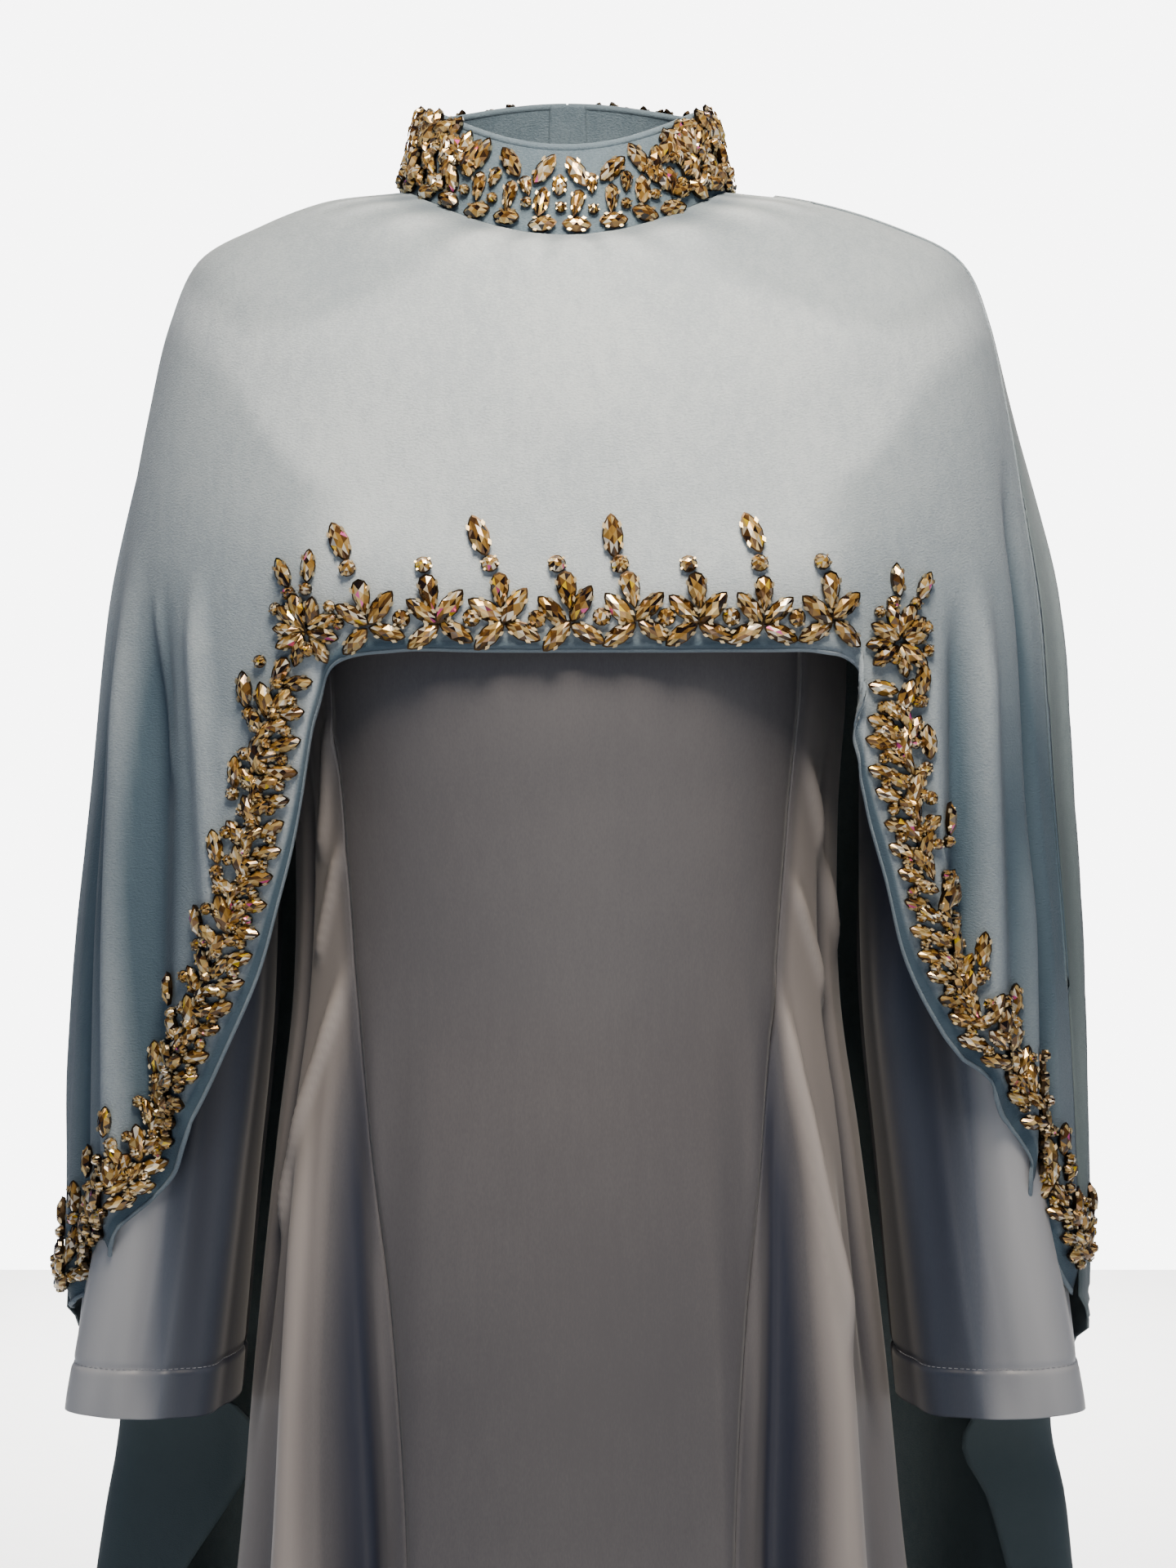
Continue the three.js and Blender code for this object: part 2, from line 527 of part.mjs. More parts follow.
// The cross-section of one half of the back at a length along the cape: a function that gives the
// point at a distance from the free edge, with the edge's flap turned in behind the ring.
function capeBackSection({ side, neckAngle, hemAngle, edge }, along, seamEnd) {
  const drop = reading(CAPE_RINGS, 'along', 'drop', along);
  const open = along > seamEnd;
  const fold = open ? reading(edge, 'drop', 'fold', drop) : mix(neckAngle, hemAngle, along / seamEnd);
  const flap = open ? Math.max(0, reading(edge, 'drop', 'flap', drop)) : 0;
  const gap = seamAngle(CAPE_RINGS, along);
  const ring = even(60).map((share) => {
    const point = capePoint(side * mix(fold + gap, 180 - gap, share), along);
    point.x *= side;
    return point;
  });
  const walked = [0];
  ring.slice(1).forEach((point, i) => walked.push(walked[i] + point.distanceTo(ring[i])));
  const heading = Math.atan2(ring[0].y - ring[1].y, ring[0].x - ring[1].x);
  const turned = (heading + Math.PI) % (2 * Math.PI);
  const pointAt = (distance) => {
    const back = flap - distance;
    let point;
    if (back > 0) {
      const turn = Math.min(back / FLAP_TURN, turned);
      const straight = Math.max(0, back - FLAP_TURN * turned);
      point = ring[0].clone();
      point.x += FLAP_TURN * (Math.sin(heading) - Math.sin(heading - turn)) - straight;
      point.y += FLAP_TURN * (Math.cos(heading - turn) - Math.cos(heading));
    } else {
      const wanted = clamp(-back, 0, walked[60]);
      const index = clamp(walked.findIndex((length) => length >= wanted), 1, 60);
      const share = (wanted - walked[index - 1]) / (walked[index] - walked[index - 1]);
      point = ring[index - 1].clone().lerp(ring[index], share);
    }
    point.x *= side;
    return point;
  };
  return { flap, turn: FLAP_TURN * turned, length: flap + walked[60], pointAt };
}

// Where the lengthways lines of the back cross a section. They crowd at the free edge, so that a
// few of them carry the turn.
function capeBackDistance(section, u) {
  const flat = CAPE_BACK_FLAP_COLUMNS;
  const turned = flat + CAPE_BACK_TURN_COLUMNS;
  const all = turned + CAPE_BACK_COLUMNS;
  const column = u * all;
  const plain = section.length * u ** 1.3;
  const held = Math.min(section.turn, section.flap);
  const straight = section.flap - held;
  let folded;
  if (column <= flat) folded = straight * column / flat;
  else if (column <= turned) folded = straight + held * (column - flat) / CAPE_BACK_TURN_COLUMNS;
  else folded = section.flap + (section.length - section.flap) * (column - turned) / CAPE_BACK_COLUMNS;
  return mix(plain, folded, THREE.MathUtils.smoothstep(section.flap, 0, 50));
}

function capeBack(half) {
  const { side } = half;
  const seamEnd = hemByLength(side < 0 ? 0 : HEM_LENGTH).along;
  const at = (u, along) => {
    const section = capeBackSection(half, along, seamEnd);
    return section.pointAt(capeBackDistance(section, side < 0 ? 1 - u : u));
  };
  const columns = even(CAPE_BACK_FLAP_COLUMNS + CAPE_BACK_TURN_COLUMNS + CAPE_BACK_COLUMNS);
  const rows = [
    ...even(CAPE_ROWS).map((share) => capeRow(share, seamEnd)),
    ...CAPE_EDGE_DROPS.map((drop) => alongAt(90, -drop)),
  ];
  return wall(at, columns, rows, CLOTH);
}

// ---- the stones ---------------------------------------------------------------------------------

// The tangents and the outward direction of a surface at a place.
function frameAt(surface, { angle, along }) {
  const byAngle = surface(angle + 0.25, along).sub(surface(angle - 0.25, along)).multiplyScalar(2);
  const byAlong = surface(angle, along + 1).sub(surface(angle, along - 1)).multiplyScalar(0.5);
  const out = byAlong.clone().cross(byAngle).normalize();
  return { byAngle, byAlong, out };
}

// Walks over a surface from a place in a direction, and gives the place that it comes to.
function walk(surface, place, heading, distance) {
  const steps = Math.max(1, Math.ceil(distance / 6));
  const direction = heading.clone();
  const here = { ...place };
  for (let i = 0; i < steps; i += 1) {
    const { byAngle, byAlong, out } = frameAt(surface, here);
    direction.addScaledVector(out, -direction.dot(out)).setLength(distance / steps);
    const [aa, ab, bb] = [byAngle.dot(byAngle), byAngle.dot(byAlong), byAlong.dot(byAlong)];
    const [da, db] = [direction.dot(byAngle), direction.dot(byAlong)];
    const size = aa * bb - ab * ab;
    here.angle += (da * bb - db * ab) / size;
    here.along += (db * aa - da * ab) / size;
  }
  return here;
}

// A border of stones as one solid: a star of stones round each hub, and a stone between two hubs.
// The tops are facets up to the middle of each stone, and the underside is plain.
function stoneBorder(surface, hubs) {
  const points = [];
  const faces = [];
  const addPoint = (place, rise) => {
    const { out } = frameAt(surface, place);
    points.push(surface(place.angle, place.along).addScaledVector(out, STONE_LIFT + rise));
    return points.length - 1;
  };
  const addFace = (a, b, c) => faces.push(a, b, c);
  // Fans clockwise as seen from outside, so each face is turned to point out.
  const top = (centre, rim) => rim.slice(1).forEach((next, i) => addFace(centre, next, rim[i]));
  const under = (centre, rim) => rim.slice(1).forEach((next, i) => addFace(centre, rim[i], next));

  const stars = hubs.map(({ place, up }) => {
    const { out } = frameAt(surface, place);
    const across = up.clone().cross(out).normalize();
    const spot = (turn, reach) => {
      const heading = up.clone().multiplyScalar(Math.cos(turn)).addScaledVector(across, Math.sin(turn));
      return walk(surface, place, heading, reach);
    };
    const turnTo = (other) => {
      const way = surface(other.angle, other.along).sub(surface(place.angle, place.along));
      return Math.atan2(way.dot(across), way.dot(up));
    };
    return { place, spot, turnTo, hubTop: addPoint(place, HUB_RISE), hubUnder: addPoint(place, 0) };
  });

  // Links lie half way between two hubs.
  const links = stars.slice(1).map((star, i) => {
    const place = {
      angle: (star.place.angle + stars[i].place.angle) / 2,
      along: (star.place.along + stars[i].place.along) / 2,
    };
    return { place, peak: addPoint(place, STONE_RISE * 0.8), half: 3.2 };
  });

  stars.forEach((star, index) => {
    const { arms } = hubs[index];
    const hands = new Map([1, -1].map((hand) => {
      const link = links[hand > 0 ? index : index - 1];
      return [hand, { link, beside: link ? Math.abs(star.turnTo(link.place)) : Math.PI / 2 }];
    }));
    const clockwise = (hand, angle) => (hand > 0 ? angle : 2 * Math.PI - angle) % (2 * Math.PI);
    // Arms all round, clockwise from the middle of the motif, with the links among them.
    const round = arms.map(({ turn, stones }) => {
      const hand = turn < 0 ? -1 : 1;
      const { beside } = hands.get(hand);
      const share = Math.abs(turn);
      const angle = share <= 1 ? share * beside : beside + (share - 1) * (Math.PI - beside);
      return { angle: clockwise(hand, angle), stones };
    });
    hands.forEach(({ link, beside }, hand) => {
      if (link) round.push({ angle: clockwise(hand, beside), link, hand });
    });
    round.sort((a, b) => a.angle - b.angle);
    const notches = round.map((arm, i) => {
      const next = round[(i + 1) % round.length];
      const span = (next.angle - arm.angle + 2 * Math.PI) % (2 * Math.PI);
      return addPoint(star.spot(arm.angle + span * 0.47, clamp(3.4 / Math.sin(span / 2), 3.4, 6)), 0);
    });
    round.forEach((arm, i) => {
      const before = notches[(i + round.length - 1) % round.length];
      const after = notches[i];
      if (arm.link) {
        arm.link[arm.hand > 0 ? 'start' : 'end'] = { before, after, star };
        return;
      }
      // Each stone starts at a base: its left, middle and right points, the middle one raised.
      let base = [before, star.hubTop, after];
      arm.stones.forEach(({ from, to, half }, number) => {
        const reach = mix(from, to, 0.5);
        const spread = Math.atan(half / reach);
        const wide = Math.hypot(half, reach);
        const peak = addPoint(star.spot(arm.angle, reach), STONE_RISE);
        const leftWide = addPoint(star.spot(arm.angle - spread, wide), 0);
        const rightWide = addPoint(star.spot(arm.angle + spread, wide), 0);
        const lastStone = number === arm.stones.length - 1;
        const turn = Math.atan(NECK / to);
        const end = lastStone ? [addPoint(star.spot(arm.angle, to), 0)] : [
          addPoint(star.spot(arm.angle - turn, to), 0),
          addPoint(star.spot(arm.angle, to), NECK),
          addPoint(star.spot(arm.angle + turn, to), 0),
        ];
        const rim = [base[0], leftWide, ...end, rightWide, base[2]];
        top(peak, [base[1], ...rim, base[1]]);
        const edge = [base[0], leftWide, ...end.filter((_, i) => i !== 1), rightWide, base[2]];
        if (number === 0) under(star.hubUnder, edge);
        else under(edge[0], edge.slice(1));
        base = end;
      });
    });
  });

  // The stone between two hubs joins them.
  links.forEach(({ place, peak, half, start, end }, index) => {
    const star = stars[index];
    const turn = star.turnTo(place);
    const reach = surface(place.angle, place.along).distanceTo(surface(star.place.angle, star.place.along));
    const spread = Math.atan(half / reach);
    const high = addPoint(star.spot(turn - spread, Math.hypot(half, reach)), 0);
    const low = addPoint(star.spot(turn + spread, Math.hypot(half, reach)), 0);
    const rim = [
      star.hubTop, start.before, high, end.after, end.star.hubTop, end.before, low, start.after, star.hubTop,
    ];
    top(peak, rim);
    under(star.hubUnder, [start.before, high, end.after, end.star.hubUnder, end.before, low, start.after]);
  });
  return geometryOf(points, faces);
}

// The hubs of the hem border, from one in the front both ways to the wrists.
function hemHubs() {
  const value = (column, length) => reading(HEM_BORDER, 'share', column, length / HEM_LENGTH);
  const lengths = [HEM_FIRST_HUB];
  const room = (length) => length > HEM_END && length < HEM_LENGTH - HEM_END;
  while (room(lengths[0] - value('pitch', lengths[0]))) {
    lengths.unshift(lengths[0] - value('pitch', lengths[0]));
  }
  const first = lengths.length - 1;
  let last = HEM_FIRST_HUB;
  while (room(last + value('pitch', last))) {
    last += value('pitch', last);
    lengths.push(last);
  }
  return lengths.map((length, index) => {
    const edge = hemByLength(length);
    const [before, after] = [hemByLength(length - 12), hemByLength(length + 12)];
    const onward = capePoint(after.angle, after.along).sub(capePoint(before.angle, before.along));
    const up = frameAt(capePoint, edge).out.cross(onward).normalize();
    const place = walk(capePoint, edge, up, value('rise', length));
    const { out } = frameAt(capePoint, place);
    up.addScaledVector(out, -up.dot(out)).normalize();
    const share = length / HEM_LENGTH;
    const row = value('turn', length);
    const long = (index - first) % 2 === 0;
    const lying = ({ turn, stones }) => ({ turn: turn + row, stones: long ? stones : stones.slice(0, 2) });
    const front = share > HEM_FRONT[0] && share < HEM_FRONT[1];
    const uphill = share < 0.5 ? 1 : -1;
    const arms = front ? HEM_MOTIF.map((arm) => (arm.turn ? arm : lying(arm)))
      : [...FLANK_MOTIF.map(({ turn, stones }) => lying({ turn: uphill * turn, stones })), ...FLANK_LEAVES];
    return { place, up, arms };
  });
}

function collarHubs() {
  const middle = COLLAR_HEIGHT / 2;
  const points = even(200).map((share) => mix(-COLLAR_STONES_END, COLLAR_STONES_END, share));
  const walked = [0];
  points.slice(1).forEach((angle, i) => (
    walked.push(walked[i] + collarPoint(angle, middle).distanceTo(collarPoint(points[i], middle)))
  ));
  const count = Math.round(walked[200] / COLLAR_PITCH);
  return even(count).map((share) => {
    const index = clamp(walked.findIndex((length) => length >= share * walked[200] - 1e-6), 0, 200);
    const place = { angle: points[index], along: middle };
    const up = frameAt(collarPoint, place).byAlong.normalize().negate();
    return { place, up, arms: COLLAR_MOTIF };
  });
}

// ---- the garment -------------------------------------------------------------------------------

const CREPE = { color: 0xa3b3b8, roughness: 0.82, metalness: 0 };
const CHIFFON = { color: 0x8aa7ab, roughness: 0.75, metalness: 0 };
const SATIN = { color: 0x8d98a8, roughness: 0.5, metalness: 0 };
const CRYSTAL = { color: 0xb08f5e, roughness: 0.2, metalness: 0.6 };

const garment = new THREE.Group();
function addPiece(name, geometry, finish) {
  const piece = new THREE.Mesh(geometry, new THREE.MeshStandardMaterial(finish));
  piece.name = name;
  garment.add(piece);
}

const collarAt = (u, along) => collarPoint(mix(-180 + COLLAR_SLIT, 180 - COLLAR_SLIT, u), along);
const collarRows = [0, COLLAR_HEIGHT / 2, COLLAR_HEIGHT];
addPiece('collar', wall(collarAt, even(COLLAR_COLUMNS), collarRows, COLLAR_CLOTH), CREPE);
addPiece('collar_crystals', stoneBorder(collarPoint, collarHubs()), CRYSTAL);

addPiece('cape_front', wall(capeFrontPoint, even(CAPE_FRONT_COLUMNS), even(CAPE_ROWS), CLOTH), CREPE);
addPiece('cape_back_left', capeBack(CAPE_SIDES.left), CHIFFON);
addPiece('cape_back_right', capeBack(CAPE_SIDES.right), CHIFFON);
addPiece('hem_crystals', stoneBorder(capePoint, hemHubs()), CRYSTAL);

addPiece('gown_front', gownPanel(mirrored(princess), princess, GOWN_FRONT_COLUMNS), SATIN);
addPiece('gown_side_left', gownPanel(princess, frontEdge, GOWN_SIDE_COLUMNS), SATIN);
addPiece('gown_side_right', gownPanel(mirrored(frontEdge), mirrored(princess), GOWN_SIDE_COLUMNS), SATIN);
addPiece('gown_back_left', gownPanel(backEdge, centreBack, GOWN_BACK_COLUMNS), SATIN);
addPiece('gown_back_right', gownPanel(mirrored(centreBack), mirrored(backEdge), GOWN_BACK_COLUMNS), SATIN);
addPiece('sleeve_left', sleeve(1), SATIN);
addPiece('sleeve_right', sleeve(-1), SATIN);

export default garment;
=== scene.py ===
# %% [markdown]
# # A caped evening gown
# The gown is a long-sleeved satin column with a flared skirt. Over it hangs a cape in one with a
# standing collar: its crepe front ends in a scoop from wrist to wrist, and its chiffon back falls to
# the floor. Champagne stones in metal claws border the collar and the scoop.
#
# Every piece of cloth here is a surface of two numbers: an angle round the body, and the length down
# from the neck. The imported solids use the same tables, so each piece lies where its solid does.

import bmesh
import bpy
import numpy as np
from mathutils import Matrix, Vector


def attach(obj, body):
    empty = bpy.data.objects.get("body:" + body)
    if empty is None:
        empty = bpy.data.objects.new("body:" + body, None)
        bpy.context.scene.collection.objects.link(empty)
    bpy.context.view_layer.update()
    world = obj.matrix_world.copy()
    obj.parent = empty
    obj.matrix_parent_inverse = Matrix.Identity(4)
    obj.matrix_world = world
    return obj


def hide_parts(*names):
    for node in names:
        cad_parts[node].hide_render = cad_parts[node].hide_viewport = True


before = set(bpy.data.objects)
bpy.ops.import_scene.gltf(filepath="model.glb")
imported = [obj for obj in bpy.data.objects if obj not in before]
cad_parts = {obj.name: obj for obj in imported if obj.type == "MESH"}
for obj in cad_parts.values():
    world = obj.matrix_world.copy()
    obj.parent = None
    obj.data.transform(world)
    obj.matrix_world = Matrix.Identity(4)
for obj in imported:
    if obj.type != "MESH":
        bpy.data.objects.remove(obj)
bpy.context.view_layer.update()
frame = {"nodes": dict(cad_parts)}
MM = 0.001                      # the tables are in millimetres, the scene in metres
print("solids:", ", ".join(frame["nodes"]))

# %% [markdown]
# ## Tables and curves
# A pattern cutter measures a body ring by ring. Each table below is such a list of rings with named
# columns, and `reading` draws a smooth curve through a column. The curve is worked out for a whole
# array of places at once, which is why no loop over vertices is needed later.

# %% Reading a table


def table(names, rows):
    """A table with named columns: each name gives its column as an array."""
    return dict(zip(names.split(), np.array(rows, float).T))


def reading(rows, key, column, place):
    """A column between its rows: the cubic curve whose slope at a row is that of the line between its
    two neighbours."""
    x, y = rows[key], rows[column]
    slope = np.gradient(y)
    slope[1:-1] = (y[2:] - y[:-2]) / (x[2:] - x[:-2])
    slope[0], slope[-1] = (y[1] - y[0]) / (x[1] - x[0]), (y[-1] - y[-2]) / (x[-1] - x[-2])
    row = np.clip(np.searchsorted(x, place, side="right") - 1, 0, len(x) - 2)
    span = x[row + 1] - x[row]
    t = np.clip((place - x[row]) / span, 0, 1)
    rise = t * t * (3 - 2 * t)
    bend = slope[row] * t * (1 - t) ** 2 - slope[row + 1] * t * t * (1 - t)
    return y[row] + (y[row + 1] - y[row]) * rise + span * bend


def smooth(value, start, end):
    """0 before start and 1 after end, with the S curve 3t^2 - 2t^3 between them."""
    t = np.clip((value - start) / (end - start), 0, 1)
    return t * t * (3 - 2 * t)


def mix(a, b, t):
    """The value a share t of the way from a to b."""
    return a + (b - a) * t


# %% Rings of the body
def unit(vectors):
    """Each vector over its own length."""
    return vectors / np.maximum(np.linalg.norm(vectors, axis=-1, keepdims=True), 1e-12)


def ring_point(rings, along, angle, push=None):
    """A point of the ring at a length along the side. In plan it is a superellipse, half |sin a|^p
    wide and front or back |cos a|^p deep with p = 2 / square, and it hangs lower by dip cos^2 a. push
    moves it out of the ring, as a fold does."""
    along, angle = np.broadcast_arrays(np.asarray(along, float), np.asarray(angle, float))
    value = {column: reading(rings, "along", column, along) for column in rings if column != "along"}
    power = 2 / value["square"]

    def flat(degrees):
        sine, cosine = np.sin(np.radians(degrees)), np.cos(np.radians(degrees))
        depth = np.where(cosine > 0, value["front"], value["back"])
        dip = np.where(cosine > 0, value["dip_front"], value["dip_back"])
        return np.stack([
            value["middle"] + value["half"] * np.sign(sine) * np.abs(sine) ** power,
            -depth * np.sign(cosine) * np.abs(cosine) ** power,
            -value["drop"] - dip * cosine ** 2,
        ], -1)

    point = flat(angle)
    if push is not None:
        tangent = flat(angle + 1) - flat(angle - 1)
        out = unit(np.stack([tangent[..., 1], -tangent[..., 0], 0 * angle], -1))
        point = point + out * push(angle, value["drop"])[..., None]
    return point


def folded(folds, angle, growth):
    """How far the folds stand out at an angle: the sum of depth growth cos^2 over the width of each."""
    total = np.zeros(np.shape(angle))
    for row in zip(*folds.values()):
        fold = dict(zip(folds, row))
        away = np.clip(np.abs(angle - fold["angle"]) / fold["width"], 0, 1)
        total = total + fold["depth"] * growth(fold) * np.cos(away * np.pi / 2) ** 2
    return total


# %% [markdown]
# ## The shape of the cape
# The real cape lies close on the shoulders and the bust and hangs free below the elbows. It could be
# sculpted, or dropped on a body as a simulated cloth. Here it is written as a surface instead, because
# the hem, the back and every stone have to ask later for a point of it. Its rings are superellipses,
# which look like rounded boxes in plan, and each kind of fold pushes them in or out.

# %% The cape's rings and folds
# A ring, in millimetres: its length along the side from the neck, its drop, half its width, its depth
# in front and behind, how much lower it hangs there, its squareness and where its middle lies.
RING_COLUMNS = "along drop half front back dip_front dip_back square middle"
CAPE_RINGS = table(RING_COLUMNS, [
    [0, -10, 84, 72, 66, 33, -15, 2.0, -5],
    [42, -4, 125, 95, 88, 41, -6, 2.1, -5],
    [84, 9, 164, 110, 102, 66, 16, 2.2, 0],
    [119, 26, 195, 120, 112, 84, 44, 2.3, 2],
    [154, 58, 209.5, 126, 118, 87, 57, 2.35, 2],
    [197, 100, 219, 130, 122, 75, 50, 2.4, 1],
    [253, 155, 229, 133, 126, 50, 35, 2.4, 0],
    [309, 210, 238, 134, 130, 22, 22, 2.4, 0],
    [389, 290, 245, 130, 134, 0, 0, 2.4, 0],
    [469, 370, 253, 122, 138, 0, 0, 2.4, 0],
    [549, 450, 258, 116, 144, 0, 0, 2.4, 0],
    [619, 520, 261, 112, 150, 0, 0, 2.4, 0],
    [669, 570, 263, 110, 156, 0, 0, 2.4, 0],
    [749, 650, 276, 110, 165, 0, 0, 2.4, 0],
    [899, 800, 278, 110, 185, 0, 0, 2.4, 0],
    [1049, 950, 281, 110, 205, 0, 0, 2.4, 0],
    [1349, 1250, 295, 110, 250, 0, 0, 2.4, 0],
    [1534, 1435, 318, 110, 280, 0, 0, 2.4, 0],
])
CAPE_LENGTH = CAPE_RINGS["along"][-1]
# A flute stands at an angle and is some degrees wide to each side. It grows from the drop start to the
# drop full. A depth below 0 is a hollow.
CAPE_FOLDS = table("angle width depth start full gone", [
    [-180, 17, 20, 220, 1435, 9000],
    [-162, 17, -18, 260, 1435, 9000],
    [-145, 17, 22, 200, 1435, 9000],
    [-128, 16, -16, 280, 1435, 9000],
    [-112, 14, 12, 700, 1435, 9000],
    [70, 10, -4, 100, 260, 520],
    [90, 18, 8, 70, 190, 560],
    [112, 14, 12, 700, 1435, 9000],
    [127, 16, -18, 240, 1435, 9000],
    [144, 17, 20, 260, 1435, 9000],
    [162, 17, -20, 220, 1435, 9000],
    [180, 17, 20, 220, 1435, 9000],
])
FLUTE_GROWTH = 0.7
# Soft creases of the worn cape. A crease runs from one angle to another between two drops.
CREASE_COLUMNS = "top bottom start end width depth"
CAPE_CREASES = table(CREASE_COLUMNS, [
    [-68, -53, 150, 640, 5.5, 8.0],
    [-58, -46, 165, 620, 7.0, -10.0],
    [-49, -38, 165, 400, 3.6, 5.5],
    [-59, -50, 180, 300, 2.2, 2.6],
    [-41, -37, 255, 350, 2.4, 2.4],
    [-86, -68, 60, 640, 7.0, -9.0],
    [54, 47, 160, 520, 4.6, 7.0],
    [42, 40, 205, 370, 2.8, 4.0],
    [48, 43, 180, 420, 3.2, -6.0],
    [71, 60, 110, 560, 5.0, -9.0],
    [60, 57, 300, 560, 5.0, 4.0],
    [90, 76, 90, 560, 3.6, 4.0],
    [91, 83, 95, 560, 3.4, -4.0],
    [92, 91, 90, 620, 4.0, 4.5],
    [94, 99, 95, 620, 4.2, -4.5],
    [96, 107, 90, 700, 4.6, 4.5],
    [-92, -86, 90, 520, 4.0, 3.5],
    [-94, -95, 95, 600, 4.2, -4.0],
    [-97, -104, 90, 700, 4.6, 4.5],
])
BUST = {"angle": 21, "width": 15, "drop": 150, "height": 52, "depth": 7}
NECK_RIPPLES = {"depth": 1.2, "number": 26, "unevenness": 5, "drop": -6, "reach": 4}


def creased(creases, angle, place):
    """How far the creases stand out: depth cos^2 over the width of each, whose middle moves evenly
    from its top angle to its bottom one; it grows over the first quarter of its length and dies away
    over the last fifth."""
    total = np.zeros(np.broadcast(angle, place).shape)
    for top, bottom, start, end, width, depth in zip(*creases.values()):
        share = (place - start) / (end - start)
        away = np.clip(np.abs(angle - mix(top, bottom, np.clip(share, 0, 1))) / width, 0, 1)
        grown = depth * smooth(share, 0, 0.25) * (1 - smooth(share, 0.8, 1))
        total = total + grown * np.cos(away * np.pi / 2) ** 2
    return total


def cape_flutes(degrees, drop):
    """How far the flutes stand out: they grow from start to full, as the S curve to the power of their
    growth, and die away again by gone."""
    return folded(CAPE_FOLDS, degrees, lambda fold: (
        smooth(drop, fold["start"], fold["full"]) ** FLUTE_GROWTH
        * (1 - smooth(drop, fold["full"], fold["gone"]))
    ))


def bust(degrees, drop):
    """The cape lies on the bust: two soft mounds, depth times a bell curve of the angle and drop."""
    return BUST["depth"] * sum(
        np.exp(-((degrees - middle) / BUST["width"]) ** 2 - ((drop - BUST["drop"]) / BUST["height"]) ** 2)
        for middle in (-BUST["angle"], BUST["angle"])
    )


def neck_ripples(degrees, drop):
    """The crepe ripples where it is eased into the collar: depth sin(number angle + 2 sin(unevenness
    angle)), times a bell curve of the drop."""
    turn = np.radians(degrees)
    wave = np.sin(NECK_RIPPLES["number"] * turn + 2 * np.sin(NECK_RIPPLES["unevenness"] * turn))
    away = (drop - NECK_RIPPLES["drop"]) / NECK_RIPPLES["reach"]
    return NECK_RIPPLES["depth"] * wave * np.exp(-away ** 2)


def cape_point(angle, along):
    """A point of the cape: its ring, pushed out by the bust, its creases, flutes and ripples."""
    def push(degrees, drop):
        return (creased(CAPE_CREASES, degrees, drop) + cape_flutes(degrees, drop) + bust(degrees, drop)
                + neck_ripples(degrees, drop))
    return ring_point(CAPE_RINGS, along, angle, push)


# %% The shade painted in the cape's folds
# An edge of the lighter wedge on the chest, between painted shade: its drop near the middle and at the
# shoulder point, and the angles between which it changes from the one to the other.
WEDGE_UPPER = (-4, 37, 20, 56)
WEDGE_LOWER = (85, 52, 29, 55)
# How much painted shade each part of the cape gets.
CAPE_SHADE = {"yoke": 0.28, "flank": 0.38, "low side": 0.80, "under bust": 0.28, "neck edge": 0.40}
WHOLLY_DARK = {"ripple": 6, "crease": 22, "flute": 40}     # a hollow this deep, in millimetres, has shade 1
BELOW_BUST = 38
# The drops, angles or lengths between which a shade comes in or dies away.
SHADE_BETWEEN = {
    "low drops": (60, 420), "low angles": (24, 56), "yoke angles": (14, 34), "flank angles": (24, 34),
    "flank drops": (300, 450), "shoulder angles": (75, 95), "neck lengths": (4, 30),
}


def comes_in(value, name):
    """0 to 1 between the two numbers of that name."""
    return smooth(value, *SHADE_BETWEEN[name])


def wedge_edge(side, edge):
    """The drop of an edge of the wedge at an angle from the middle."""
    near, far, start, end = edge
    return mix(near, far, smooth(side, start, end))


def chest_shade(angle, drop):
    """Painted shade on the chest: a lighter wedge is left from each shoulder point to the chest, and the
    cloth is painted a little darker above the wedge's upper edge, which rises to the neck, and below its
    lower one, which falls to the bust."""
    side = np.abs(angle)
    upper, lower = wedge_edge(side, WEDGE_UPPER), wedge_edge(side, WEDGE_LOWER)
    yoke = (1 - smooth(drop, upper - 6, upper + 8)) * comes_in(side, "yoke angles")
    flank = smooth(drop, lower - 4, lower + 18) * comes_in(side, "flank angles")
    flank = flank * (1 - comes_in(drop, "flank drops"))
    shade = CAPE_SHADE["yoke"] * yoke + CAPE_SHADE["flank"] * flank
    return shade * (1 - comes_in(side, "shoulder angles"))


def cape_painted_shade(angle, along):
    """The painted shade of the cape's cloth: the depth of its hollows over the depth that is wholly dark,
    and more on the low sides, under the bust and at the neck, which face away from the lamps. Its crests
    come out below 0, as a painted highlight."""
    drop = reading(CAPE_RINGS, "along", "drop", along)
    low = CAPE_SHADE["low side"] * comes_in(drop, "low drops") * comes_in(np.abs(angle), "low angles")
    low = low + chest_shade(angle, drop)
    under = CAPE_SHADE["under bust"] * bust(angle, drop - BELOW_BUST) / BUST["depth"]
    under = under + CAPE_SHADE["neck edge"] * (1 - comes_in(np.asarray(along, float), "neck lengths"))
    under = under - neck_ripples(angle, drop) / WHOLLY_DARK["ripple"]
    creases = creased(CAPE_CREASES, angle, drop) / WHOLLY_DARK["crease"]
    return low + under - creases - cape_flutes(angle, drop) / WHOLLY_DARK["flute"]


print("cape:", round(CAPE_LENGTH), "mm along the side")

# %% [markdown]
# ## Finishes
# A finish is a small program of nodes. Written as Python it reads like a formula: `Wire` stands for a
# value in the shader, and adding or multiplying wires adds the Math nodes. Every other node comes from
# `Finish.node`, which takes the node's settings and then its sockets.

# %% Writing shaders as formulas


